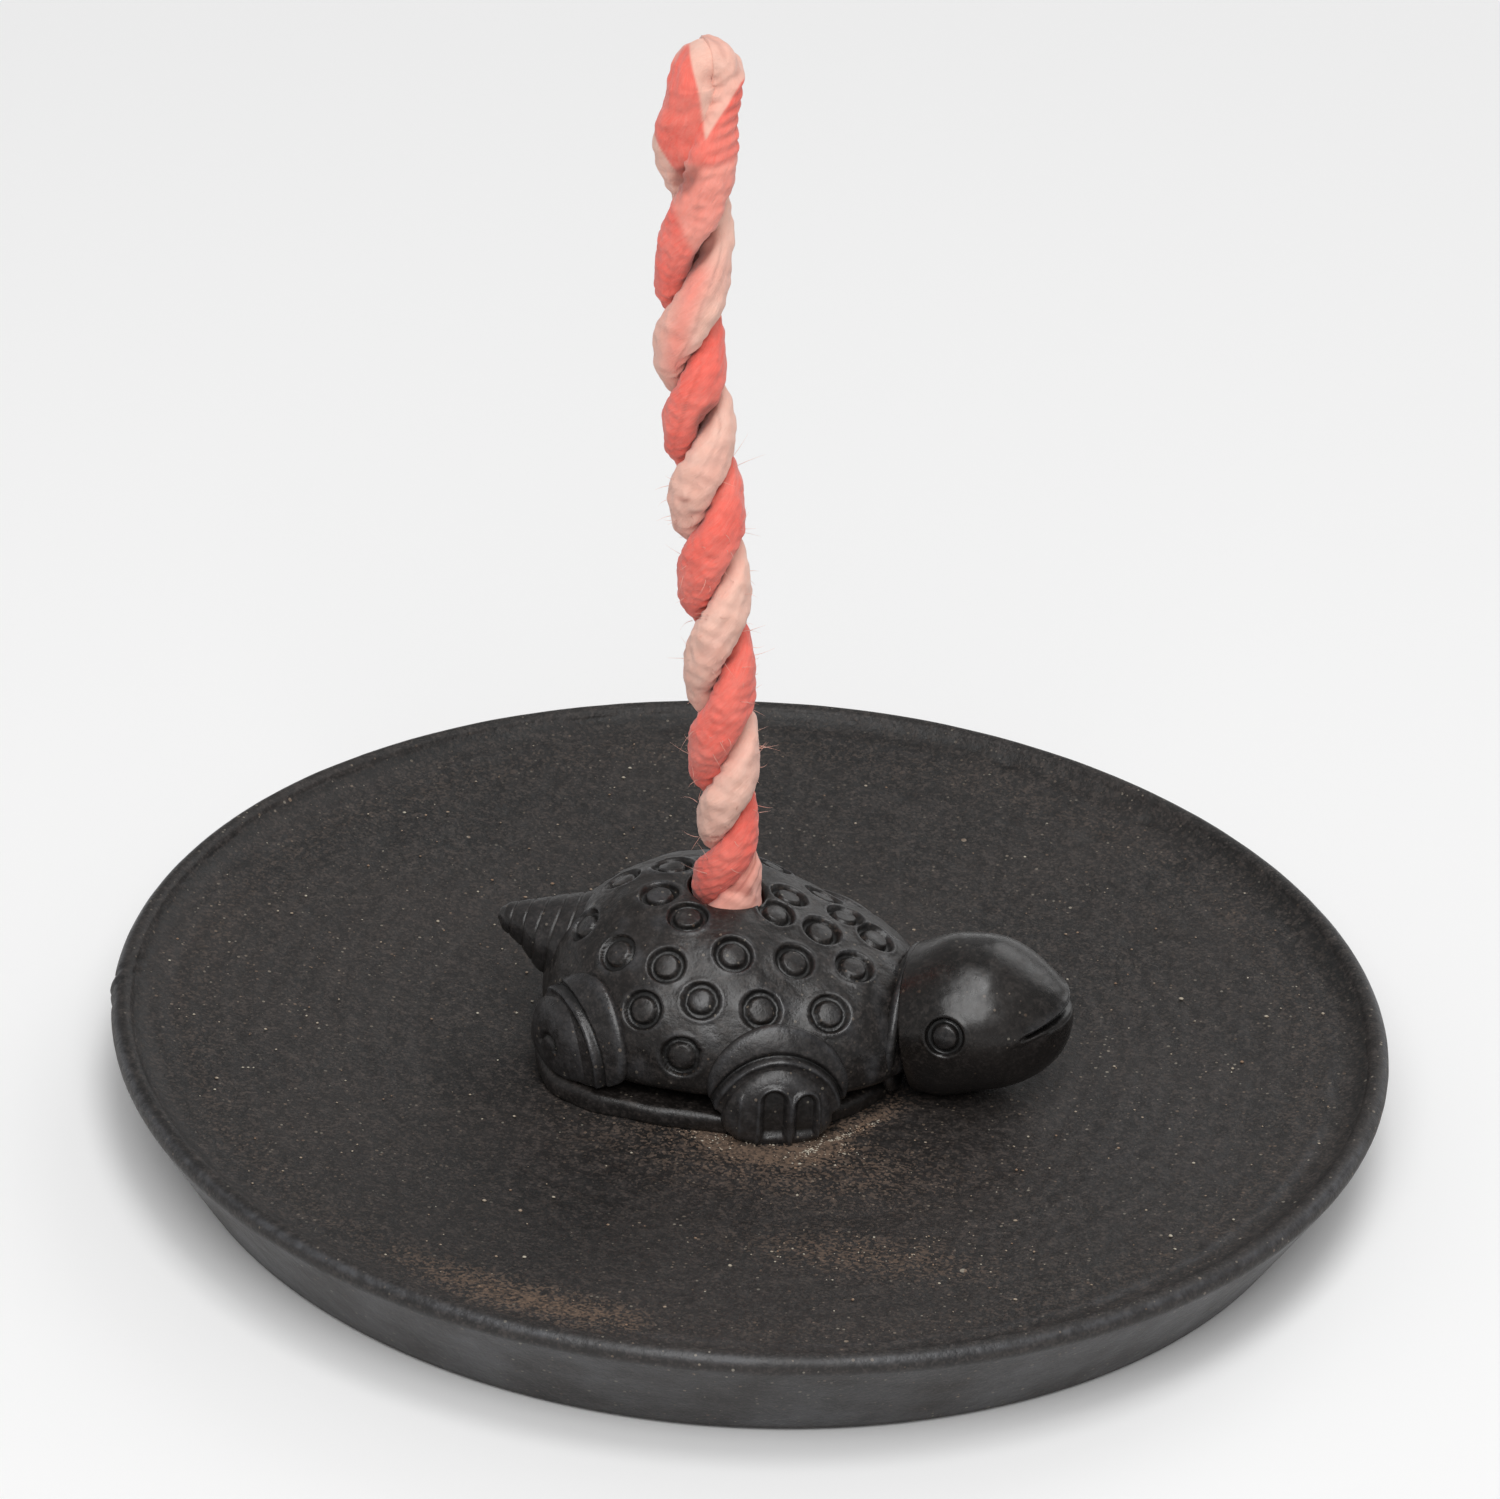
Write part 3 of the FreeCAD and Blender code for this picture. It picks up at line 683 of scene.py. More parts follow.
def dish_profile(dish):
    """Half section from the floor's middle to the rim, over its crown and down the wall to the base."""
    rim = np.array([dish.radius - dish.rim_round, dish.height - dish.rim_round])
    foot = np.array([dish.foot_radius - dish.foot_round, dish.foot_round])
    edge = np.array([dish.radius - dish.rim_width, dish.height - dish.edge_drop])
    flat = np.array([dish.flat_radius, dish.height - dish.floor_drop])
    lean = math.atan2(rim[0] - foot[0], rim[1] - foot[1])
    outward = np.array([math.cos(lean), -math.sin(lean)])
    crown_end = rim + dish.rim_round * np.array([math.cos(RIM_INNER_END), math.sin(RIM_INNER_END)])
    before = edge + (flat - edge) * EDGE_BEND_SHARE
    after = edge + (crown_end - edge) * EDGE_STEP_SHARE
    return np.concatenate([
        line((POLE_RADIUS, flat[1]), flat, FLAT_ROWS),
        line(flat, before, SLOPE_ROWS),
        bend(before, edge, after, EDGE_ROWS),
        line(after, crown_end, STEP_ROWS),
        arc(rim, dish.rim_round, RIM_INNER_END, -lean, CROWN_ROWS),
        line(rim + dish.rim_round * outward, foot + dish.foot_round * outward, WALL_ROWS),
        arc(foot, dish.foot_round, -lean, -math.pi / 2, FOOT_ROWS),
        line((foot[0], 0.0), (POLE_RADIUS, 0.0), BASE_ROWS),
    ])


def pits_and_scars(points, dish):
    """Depth of the floor's small pits and longer scars, and the painted shade in them."""
    upper = points[..., 2] > dish.height - dish.floor_drop - 1.0
    rng = np.random.default_rng(21)
    depth = np.zeros(points.shape[:2])
    groove = np.zeros(points.shape[:2])
    for _ in range(PIT_COUNT):
        far = math.sqrt(rng.uniform(0.2, 1.0)) * (dish.radius - 3.0)
        way = rng.uniform(0, TAU)
        size = rng.uniform(0.25, 0.75)
        pit = spot(points, far * math.cos(way), far * math.sin(way), size) * upper
        depth += 0.3 * size * pit
        groove = np.maximum(groove, 0.5 * pit)
    for x, y, size in SCARS:
        scar = spot(points, x, y, 0.8 * size, SCAR_STRETCH) * upper
        depth += SCAR_DEPTH * scar
        groove = np.maximum(groove, 0.8 * scar)
    return depth, groove


def rim_fold(angle, r, z, dish):
    """Height of a fold pressed in the rim with two slanting creases and a dent, and painted shade along the
    creases.
    """
    around = turn_from(angle, FOLD_HEADING) * dish.radius
    inward = dish.radius - r
    on_rim = (z > RIM_LOWEST) * smooth(RIM_REACH - inward)
    swell = bell(around, 1.6) * bell(inward, 1.6) * on_rim
    first = bell(around - 0.6 + 1.8 * inward, 0.45) * on_rim
    second = bell(around + 2.0 + 1.5 * inward, 0.5) * on_rim
    dent = bell(around - 2.4, 0.5) * bell(inward, 0.8) * on_rim
    height = 0.22 * swell - 0.3 * first - 0.22 * second - 0.15 * dent
    return height, np.maximum(first, 0.8 * second)


def dish_surface():
    """Profile turned about +Z, then moved along its normals as a hand-thrown dish is uneven.

    Slow waves lift the whole form; throwing rings, short ripples, pits, scars and a rim fold are added."""
    dish = sizes("dish")
    profile = dish_profile(dish)
    angle = turns(DISH_COLUMNS)
    r = profile[:, :1] + 0 * angle
    z = profile[:, 1:] + 0 * angle
    points = np.stack([r * np.cos(angle), r * np.sin(angle), z], -1)
    normal = -grid_normals(points)
    on_floor = (np.arange(len(profile)) < FLOOR_ROWS)[:, None]
    upper = smooth(z / CALM_BASE)
    slow = waves(points, (0.8, 70.0, 3), (0.2, 34.0, 5))
    uneven = 1.5 * ripple(points, 30.0, 8)
    rings = THROWN_RING_HEIGHT * np.sin(TAU * r / THROWN_RING_STEP + uneven) * on_floor
    calm = upper * np.where(on_floor, 1.0, 0.2)
    fine = waves(points, (0.025, 2.2, 12, 12), (0.045, 6.0, 13, 9)) * calm
    depth, groove = pits_and_scars(points, dish)
    fold, fold_shade = rim_fold(angle, r, z, dish)
    points = points + normal * (rings + fine - depth + fold)[..., None]
    points[..., 2] += 0.5 * dish.unevenness * slow * upper
    return points, dish_marks(points, angle, r, z, np.maximum(groove, fold_shade), dish)


def dish_marks(points, angle, r, z, groove, dish):
    """Where the dish is worn or dusty, or carries painted highlight, reflection, sheen and shade: bells over
    its rows, its radius and places on its floor.
    """
    row = np.arange(len(points))[:, None]
    on_floor = row < FLOOR_ROWS
    from_edge = r - (dish.radius - dish.rim_width)
    # Painted highlight along the rim's crown
    crown = bell(row - CROWN_ROW, 3.6) * (1.0 + 0.3 * ripple(points, 9.0, 31))
    outside = (z > 0.6) * (r > dish.foot_radius - dish.foot_round) * (row > WALL_REFLECTION_ROW)
    # Painted reflection of the table on the outer wall
    wall = smooth((dish.height - 1.0 - z) / 0.8) * outside
    wall = wall * (0.5 + waves(points, (0.22, 11.0, 51), (0.12, 3.5, 52, 10)))
    head_side = bell(turn_from(angle, HEAD_HEADING), 0.75)
    worn_ring = bell(from_edge + 2.1, 0.5) * (0.12 + 0.4 * head_side) * (0.7 + 0.4 * ripple(points, 8.0, 43))
    # The floor's lighter place is painted sheen
    wear = crown + wall + (worn_ring + 0.16 * spot(points, *SHEEN_PLACE)) * on_floor
    # Painted shade in the crease where the floor meets the rim, and on a floor place
    crease = 0.75 * bell(from_edge - 0.3, 0.45) * (0.7 + 0.3 * ripple(points, 14.0, 41))
    dark = np.maximum(crease, 0.42 * spot(points, *SHADED_PLACE)) * on_floor
    along_edge = turn_from(angle, DUST_HEADING)
    front = bell(along_edge, 0.19) * smooth((DUST_END - along_edge) / 0.05)
    band = bell(from_edge + 4.2, 2.3) * (0.7 * front + 0.05)
    dust = dust_heap(points) + (band + 0.36 * spot(points, *STREWN_PLACE) + 0.06) * on_floor
    return clipped(groove=np.maximum(groove, dark), wear=wear, dust=dust)


def dust_heap(points):
    """Powder shaken off round the right front paw, along the belly to the neck, and thinly before the paw.

    It is a ring round the paw, a ridge along a straight line, and a wide bell."""
    tortoise = sizes("tortoise")
    x = points[..., 0] - tortoise.place_x
    y = points[..., 1] - tortoise.place_y
    ring = np.hypot((x - PAW_MIDDLE[0]) / PAW_HALVES[0], (y - PAW_MIDDLE[1]) / PAW_HALVES[1])
    near_paw = bell(ring - 1.06, 0.28) * smooth((-y - 9.0) / 5.0)
    aside = (y - RIDGE_START[1] - RIDGE_SLOPE * (x - RIDGE_START[0])) / RIDGE_SLANT
    ridge = bell(aside, 0.42) + 0.42 * bell(aside - 1.0, 1.6)
    ridge = ridge * smooth((x - 7.0) / 3.0) * smooth((19.5 - x) / 4.0)
    spread = 0.36 * bell(np.hypot((x - PAW_SPREAD[0]) / 2.3, y - PAW_SPREAD[1]), 5.5)
    return np.clip(np.maximum(0.95 * near_paw, 0.9 * ridge) + spread, 0, 1)


class BURNER_OT_dish(bpy.types.Operator):
    """Make the thrown dish with its worn rim, pits and powder, and its painted highlight, reflection, sheen
    and shade
    """

    bl_idname = "burner.dish"
    bl_label = "Dish"

    def execute(self, context):
        clay_piece("dish_thrown", [dish_surface()], "dish", "dish")
        return {"FINISHED"}


# Tortoise

SHELL_COLUMNS = 430
SOCKET_FLOOR_ROWS = 5
SOCKET_WALL_ROWS = 12
LIP_ROWS = 4
DOME_ROWS = 190
UNDER_ROWS = 22
SHELL_FIRST_ROW = SOCKET_FLOOR_ROWS + SOCKET_WALL_ROWS + LIP_ROWS
LIP_ROUND = 0.3
LIP_DROP = 0.35
TUCK_END = math.radians(52)

# The back's straighter fall and the dip round the socket: how much, where along the shell, and half width
BACK_FALL = 0.13
BACK_FALL_X = 10.0
BACK_FALL_WIDTH = 5.5
SOCKET_DIP = 1.0
SOCKET_DIP_WIDTH = 4.6

# Stamped rings as a turn round the shell and a height angle, in degrees; the pairs stand on both sides
RING_PAIRS = ((158, 40), (127, 43), (99, 46), (71, 55), (43, 54), (103, 27), (83, 35), (65, 35), (44, 31),
              (87, 12))
RING_SINGLES = ((-21, 44), (-9, 60), (8, 44), (19, 54), (174, 55), (22, 70), (-20, 71.5), (88, 67),
                (-99, 68), (149, 70), (-146, 70))
RING_CLEARANCE = 1.5

HEAD_GRID = 300
HEAD_BLUNT = -0.35
HEAD_LOWEST = 0.15
MOUTH_CORNER = (4.8, 0.1)
MOUTH_SLOPE = 0.17
MOUTH_START = 5.9
BEAK_START = 3.0
BEAK_RUN = 7.0
NECK_START = -4.5
NECK_SHARE = 0.13
COLLAR_ROWS = 28
COLLAR_COLUMNS = 160

TAIL_GRID = 90
TAIL_ROOT = -0.15
TAIL_RINGS = 6.0
SCALLOP_DEPTH = 0.14

BELLY_COLUMNS = 240
BELLY_TOP_ROWS = 6
BELLY_EDGE_ROWS = 10
BELLY_WORN_ROW = 13
BELLY_FRONT_POWER = 2.0
BELLY_REAR_POWER = 3.5

LOWEST = -0.15
LOBE_ROWS = 130
LOBE_COLUMNS = 170
LOBE_BACK = 2.5
CUFF_POWER = 0.55
FOOT_POWER = 0.72
CUFF_MARGIN = 0.75

# A lobe on the shell's side: its middle's turn and height, half length, rise, fall and how far out it stands
Lobe = namedtuple("Lobe", "way level half_length rise fall proud")
FRONT_CUFF = Lobe(math.radians(62), 4.8, 6.4, 5.5, 4.3, 0.95)
FRONT_FOOT = Lobe(math.radians(62.5), 1.8, 4.9, 5.3, 2.6, 2.2)
REAR_CUFF = Lobe(math.radians(128), 4.6, 6.1, 6.5, 2.8, 1.1)
REAR_FOOT = Lobe(math.radians(136), 3.3, 5.1, 5.0, 1.9, 1.8)

# Slots between the toes: middle and half width as shares of the foot's half length, and top in millimetres
TOE_SLOTS = ((-0.12, 0.2, 4.5), (0.42, 0.18, 4.0))


def tortoise_base():
    """The tortoise's own origin on the dish floor, in millimetres."""
    dish = sizes("dish")
    tortoise = sizes("tortoise")
    return np.array([tortoise.place_x, tortoise.place_y, dish.height - dish.floor_drop])


def pitched(points, angle):
    """Points turned about the Y axis, so that what lies ahead goes up."""
    x, y, z = points[..., 0], points[..., 1], points[..., 2]
    cosine, sine = math.cos(angle), math.sin(angle)
    return np.stack([x * cosine - z * sine, y, x * sine + z * cosine], -1)


def with_height(plan, height):
    """Points of a plan, each at its height."""
    return np.concatenate([plan, np.broadcast_to(height, plan.shape[:-1])[..., None]], -1)


def shell_long(ahead, tortoise):
    """Shell length before its peak where ahead is positive, and behind it elsewhere."""
    return np.where(ahead > 0, tortoise.shell_front, tortoise.shell_rear)


def shell_height(x, y):
    """Height of the dome over its widest line: an ellipsoid, longer before its peak than behind it.

    The back falls a little straighter to the neck, and is pressed in a little round the socket."""
    tortoise = sizes("tortoise")
    inside = 1.0 - (x / shell_long(x, tortoise)) ** 2 - (y / tortoise.shell_half_width) ** 2
    height = tortoise.shell_crown * np.sqrt(np.clip(inside, 0.0, 1.0))
    straighter = 1.0 - BACK_FALL * bell(x - BACK_FALL_X, BACK_FALL_WIDTH)
    from_socket = np.hypot(x - (tortoise.socket_x - tortoise.peak_x), y)
    return height * straighter - SOCKET_DIP * bell(from_socket, SOCKET_DIP_WIDTH)


def shell_normal(points):
    """Outward direction of the ellipsoid dome."""
    tortoise = sizes("tortoise")
    x, y, z = points[..., 0], points[..., 1], points[..., 2]
    steep = (x / shell_long(x, tortoise) ** 2, y / tortoise.shell_half_width ** 2,
             z / tortoise.shell_crown ** 2)
    return unit(np.stack(steep, -1))


def ring_places():
    """Middles and outward directions of the stamped rings, each at a turn round the shell and a height."""
    tortoise = sizes("tortoise")
    mirrored = tuple((-way, height_angle) for way, height_angle in RING_PAIRS)
    places = []
    for way, height_angle in RING_PAIRS + mirrored + RING_SINGLES:
        low = math.cos(math.radians(height_angle))
        heading = math.radians(way)
        x = shell_long(math.cos(heading), tortoise) * low * math.cos(heading)
        y = tortoise.shell_half_width * low * math.sin(heading)
        middle = np.array([x, y, float(shell_height(np.array(x), np.array(y)))])
        places.append((middle, shell_normal(middle)))
    return places


def shell_grid(tortoise, socket, lean):
    """Rows from the socket's bottom up its wall, over its lip, down the dome to its edge and under it.

    Dome points run from the lip circle to the oval outline, evenly by angle, at the dome's height; the
    underside is a flatter ellipsoid."""
    way = turns(SHELL_COLUMNS)
    circle = np.stack([np.cos(way), np.sin(way)], -1)
    half_width = np.full(SHELL_COLUMNS, tortoise.shell_half_width)
    outline = circle * np.stack([shell_long(np.cos(way), tortoise), half_width], -1)
    radius = tortoise.socket_radius
    lip = socket + (radius + LIP_ROUND) * circle
    lip_z = shell_height(lip[:, 0], lip[:, 1])
    axis = np.array([-math.sin(lean), 0.0, math.cos(lean)])
    bottom = np.array([socket[0], 0.0, tortoise.shell_crown]) - axis * tortoise.socket_depth
    ring = pitched(with_height(circle, 0.0), lean)
    floor_rows = bottom + ring * (radius * np.linspace(0.1, 1.0, SOCKET_FLOOR_ROWS))[:, None, None]
    top = with_height(socket + radius * circle, lip_z - LIP_DROP)
    share = np.linspace(0.04, 1.0, SOCKET_WALL_ROWS)[:, None, None]
    wall_rows = (bottom + ring * radius) * (1 - share) + top * share
    roll = np.linspace(0.2, 0.8, LIP_ROWS)[:, None] * math.pi / 2
    lip_plan = socket + circle * (radius + LIP_ROUND * (1 - np.cos(roll)))[..., None]
    lip_rows = with_height(lip_plan, lip_z - LIP_DROP + LIP_DROP * np.sin(roll))
    share = np.sin(np.linspace(0.0, 1.0, DOME_ROWS) * math.pi / 2)[:, None, None]
    plan = lip * (1 - share) + outline * share
    dome_rows = with_height(plan, shell_height(plan[..., 0], plan[..., 1]))
    tuck = np.linspace(0.04, 1.0, UNDER_ROWS)[:, None] * TUCK_END
    under_rows = with_height(outline * np.cos(tuck)[..., None], -tortoise.shell_under * np.sin(tuck))
    return np.concatenate([floor_rows, wall_rows, lip_rows, dome_rows, under_rows])


def shell_surface():
    """The shell's grid, uneven by hand, with stamped rings pressed in along the dome's own normals."""
    tortoise = sizes("tortoise")
    socket = np.array([tortoise.socket_x - tortoise.peak_x, 0.0])
    points = shell_grid(tortoise, socket, sizes("rope").lean)
    outer = (np.arange(len(points)) >= SHELL_FIRST_ROW)[:, None]
    lump = waves(points, (0.16, 16.0, 51), (0.05, 4.0, 52, 10), (0.018, 1.3, 53, 12))
    points = points + shell_normal(points) * (lump * outer)[..., None]
    groove = np.zeros(points.shape[:2])
    rub_and_sheen = np.zeros(points.shape[:2])
    rng = np.random.default_rng(7)
    for middle, normal in ring_places():
        if np.hypot(*(middle[:2] - socket)) < tortoise.socket_radius + RING_CLEARANCE:
            continue
        size = tortoise.ring_radius * rng.uniform(0.95, 1.06)
        deep = tortoise.ring_depth * rng.uniform(0.85, 1.1)
        points, trough = pressed(points, middle, normal, size, tortoise.ring_groove, deep)
        groove = np.maximum(groove, trough)
        away = np.linalg.norm(points - middle, axis=-1)
        # Ring lips and buttons: rubbing and painted highlight
        rub_and_sheen = np.maximum(rub_and_sheen, 0.38 * bell(away - size - 0.55, 0.25) + 0.4 * bell(away, size * 0.5))
    patchy = 0.65 + waves(points, (0.35, 5.0, 61), (0.4, 1.1, 62, 12))
    # Patches of painted highlight
    sheen_patch = np.clip(ripple(points, 2.8, 63, 10) - 0.15, 0, 1) * np.clip(0.5 + ripple(points, 9.0, 64), 0, 1)
    wear = (rub_and_sheen * patchy + 0.5 * sheen_patch) * outer * (1 - groove)
    # Painted shade inside the socket
    groove[:SHELL_FIRST_ROW] = 0.8
    # Painted shade on the tucked underside
    groove = np.maximum(groove, 0.7 * smooth(-points[..., 2] / 1.6) * outer)
    points = points + np.array([tortoise.peak_x, 0.0, tortoise.shell_equator]) + tortoise_base()
    return points, clipped(groove=groove, wear=wear, dust=0.16 * trough_dust(groove, points))


def trough_dust(groove, points):
    """A little powder caught beside the grooves, in patches."""
    return np.clip(groove * (1 - groove) * 4.0, 0, 1) * np.clip(0.5 + 0.5 * ripple(points, 7.0, 71), 0, 1)


class BURNER_OT_shell(bpy.types.Operator):
    """Make the domed shell with its socket and stamped rings"""

    bl_idname = "burner.shell"
    bl_label = "Shell"

    def execute(self, context):
        clay_piece("shell_stamped", [shell_surface()], "shell", "shell")
        return {"FINISHED"}


def ball_grid(rows, columns):
    """Directions on a unit sphere: rows from the +X pole to the -X pole, columns round the X axis."""
    fall = (np.arange(rows) + 0.5)[:, None] * math.pi / rows
    way = turns(columns)
    return np.stack([np.cos(fall) + 0 * way, np.sin(fall) * np.sin(way), np.sin(fall) * np.cos(way)], -1)


def head_form(tortoise):
    """Egg about the heading, blunt behind, shaved to a beak and drawn in at the neck, and its normals."""
    ball = ball_grid(HEAD_GRID, HEAD_GRID)
    ahead = ball[..., 0]
    long = np.where(ahead > 0, tortoise.head_front, tortoise.head_rear)
    blunt = np.where(ahead < 0, np.hypot(ball[..., 1], ball[..., 2]) ** HEAD_BLUNT, 1.0)
    x = ahead * long
    shave = smooth((x - BEAK_START) / BEAK_RUN)
    neck = 1.0 - NECK_SHARE * smooth((NECK_START - x) / 0.55)
    brow = 1.0 - 0.3 * shave - 0.12 * smooth((-0.5 - x) / 4.5)
    throat = 1.0 + 0.13 * smooth((2.0 - x) / 5.0)
    y = ball[..., 1] * tortoise.head_half_width * blunt * (1.0 - 0.1 * shave) * neck
    z = ball[..., 2] * tortoise.head_half_height * blunt * neck
    points = np.stack([x, y, z * np.where(z > 0, brow, throat)], -1)
    steep = (ahead / long, ball[..., 1] / tortoise.head_half_width, ball[..., 2] / tortoise.head_half_height)
    return points, unit(np.stack(steep, -1))


def cut_mouth(points, normal):
    """Cut a slit mouth that rises to the beak over a set-back jaw; gives points, slit and upper lip."""
    x, z = points[..., 0], points[..., 2]
    above = z - MOUTH_CORNER[1] - MOUTH_SLOPE * (x - MOUTH_CORNER[0])
    open_share = smooth((x - MOUTH_START) / 1.2)
    gape = 0.18 + 0.22 * smooth((x - 6.5) / 3.5)
    slit = bell(above, gape) * open_share
    jaw = smooth(-above / 0.7) * smooth((x - 4.0) / 4.0) * smooth((z + 6.0) / 5.0)
    upper = bell(above - 0.6, 0.4) * open_share
    return points - normal * (0.9 * slit + 0.3 * jaw - 0.12 * upper)[..., None], slit, upper


def head_surface():
    """The head's egg with a slit mouth and two ringed eyes, pitched up and kept off the floor."""
    tortoise = sizes("tortoise")
    points, normal = head_form(tortoise)
    lump = waves(points, (0.16, 13.0, 81), (0.012, 4.0, 82, 10), (0.005, 1.2, 83, 12))
    points, slit, upper = cut_mouth(points + normal * lump[..., None], normal)
    # Painted shade in the mouth's slit and the eyes' grooves
    groove = np.clip(1.3 * slit, 0, 1)
    wear = 0.4 * upper
    half_width, half_height = tortoise.head_half_width, tortoise.head_half_height
    aside = half_width * math.sqrt(1 - (tortoise.eye_height / half_height) ** 2)
    for side in (-1, 1):
        eye = np.array([tortoise.eye_x, side * aside, tortoise.eye_height])
        out = unit(np.array([0.0, eye[1] / half_width ** 2, eye[2] / half_height ** 2]))
        points, trough = pressed(
            points, eye, out, tortoise.ring_radius, tortoise.ring_groove, tortoise.ring_depth)
        groove = np.maximum(groove, trough)
        wear = np.maximum(wear, 0.3 * bell(np.linalg.norm(points - eye, axis=-1), 0.8))
    points = pitched(points, tortoise.head_pitch) + np.array([tortoise.head_x, 0.0, tortoise.head_height])
    points[..., 2] = np.maximum(points[..., 2], HEAD_LOWEST)
    # Painted shade on the head's lower part
    below = smooth((5.2 - points[..., 2]) / 4.0)
    return points + tortoise_base(), clipped(groove=np.maximum(groove, 0.8 * below), wear=wear)


def collar_surface():
    """Flat bead round the neck between two grooves: an oval carried round an upright oval ring."""
    tortoise = sizes("tortoise")
    way = turns(COLLAR_COLUMNS)
    across = np.linspace(-1.0, 1.0, COLLAR_ROWS)[:, None]
    proud = np.sqrt(np.clip(1 - across ** 2, 0, 1))
    x = tortoise.collar_x + tortoise.collar_half_thickness * across + 0.1 * np.cos(way)
    y = (tortoise.collar_half_width + tortoise.collar_bead * proud) * np.sin(way)
    z = tortoise.collar_height + (tortoise.collar_half_height + tortoise.collar_bead * proud) * np.cos(way)
    points = np.stack([x, y, np.maximum(z, LOWEST)], -1)
    points = points + 0.06 * ripple(points, 5.0, 91)[..., None]
    # Painted shade along both sides of the bead
    marks = {"wear": 0.5 * proud ** 4 + 0 * way, "groove": 0.9 * (1 - proud) + 0 * way}
    return points + tortoise_base(), marks


class BURNER_OT_head(bpy.types.Operator):
    """Make the head with its mouth and eyes, and the collar behind it"""

    bl_idname = "burner.head"
    bl_label = "Head and collar"

    def execute(self, context):
        clay_piece("head_burnished", [head_surface()], "head", "head")
        clay_piece("collar_bead", [collar_surface()], "shell", "neck_collar")
        return {"FINISHED"}


def tail_surface():
    """Cone turned about its own axis with scalloped rings and a round tip, tilted up behind the shell."""
    tortoise = sizes("tortoise")
    share = np.linspace(TAIL_ROOT, 1.0, TAIL_GRID)[:, None]
    way = turns(TAIL_GRID)
    scallop = 1.0 - bell(np.sin(share * TAIL_RINGS * math.pi), 0.2)
    radius = tortoise.tail_radius + (tortoise.tail_tip - tortoise.tail_radius) * share
    radius = radius + SCALLOP_DEPTH * (scallop - 0.9) * (share < 0.96)
    radius = radius * np.sqrt(np.clip((1.04 - share) / 0.12, 0.0, 1.0))
    back = -share * tortoise.tail_length + 0 * way
    points = np.stack([back, radius * np.sin(way), radius * np.cos(way)], -1)
    points = pitched(points + 0.1 * ripple(points, 4.0, 95)[..., None], -tortoise.tail_rise)
    points = points + np.array([tortoise.tail_x, 0.0, tortoise.tail_height])
    # Painted shade between the rings and painted highlight on their ridges
    marks = clipped(groove=0.35 * (1 - scallop) + 0 * way, wear=0.22 * scallop + 0 * way)
    return points + tortoise_base(), marks


class BURNER_OT_tail(bpy.types.Operator):
    """Make the ringed tail"""

    bl_idname = "burner.tail"
    bl_label = "Tail"

    def execute(self, context):
        clay_piece("tail_ringed", [tail_surface()], "shell", "tail")
        return {"FINISHED"}


def oval(way, long, wide, power):
    """Distance from an oval's middle to its edge; a power over 2 squares its corners."""
    return (np.abs(np.cos(way) / long) ** power + np.abs(np.sin(way) / wide) ** power) ** (-1 / power)


def belly_surface():
    """Oval plate with a rounded upper edge: an oval outline scaled and lifted along a quarter round."""
    tortoise = sizes("tortoise")
    thick, rounding = tortoise.belly_thickness, tortoise.belly_round
    way = turns(BELLY_COLUMNS)
    front = oval(way, tortoise.belly_front, tortoise.belly_half_width, BELLY_FRONT_POWER)
    rear = oval(way, tortoise.belly_rear, tortoise.belly_half_width, BELLY_REAR_POWER)
    outline = np.where(np.cos(way) > 0, front, rear)[:, None] * np.stack([np.cos(way), np.sin(way)], -1)
    edge_scale = np.cos(np.linspace(1.2, 0.0, BELLY_EDGE_ROWS)) * 0.06 + 0.94
    edge_lift = thick - rounding + rounding * np.sin(np.linspace(1.45, 0.0, BELLY_EDGE_ROWS))
    scale = np.concatenate([np.linspace(0.2, 0.9, BELLY_TOP_ROWS), edge_scale, [1.0, 0.985]])
    lift = np.concatenate([np.full(BELLY_TOP_ROWS, thick), edge_lift, [0.4, -0.2]])
    points = with_height(outline * scale[:, None, None], lift[:, None])
    points = points + 0.14 * ripple(points, 6.0, 97)[..., None] * np.array([1.0, 1.0, 0.4])
    wear = 0.12 * bell(np.arange(len(lift)) - BELLY_WORN_ROW, 3.0)[:, None] + 0 * way
    return points + tortoise_base(), {"wear": wear}


class BURNER_OT_belly(bpy.types.Operator):
    """Make the belly plate"""

    bl_idname = "burner.belly"
    bl_label = "Belly plate"

    def execute(self, context):
        clay_piece("belly_lip", [belly_surface()], "shell", "belly_plate")
        return {"FINISHED"}


def flank(way, height):
    """Side of the shell at a turn round it and a height over its widest line, with its outward direction.

    Over the widest line it is the dome itself; under it the side goes straight down."""
    tortoise = sizes("tortoise")
    over = np.maximum(height, 0.0)
    share = np.sqrt(np.clip(1.0 - (over / tortoise.shell_crown) ** 2, 0.0, 1.0))
    x = shell_long(np.cos(way), tortoise) * np.cos(way) * share
    y = tortoise.shell_half_width * np.sin(way) * share
    return np.stack([x, y, height], -1), shell_normal(np.stack([x, y, over], -1))


def arc_rate(way):
    """Millimetres along the shell's outline for each radian of turn."""
    tortoise = sizes("tortoise")
    long = shell_long(math.cos(way), tortoise)
    return math.hypot(long * math.sin(way), tortoise.shell_half_width * math.cos(way))


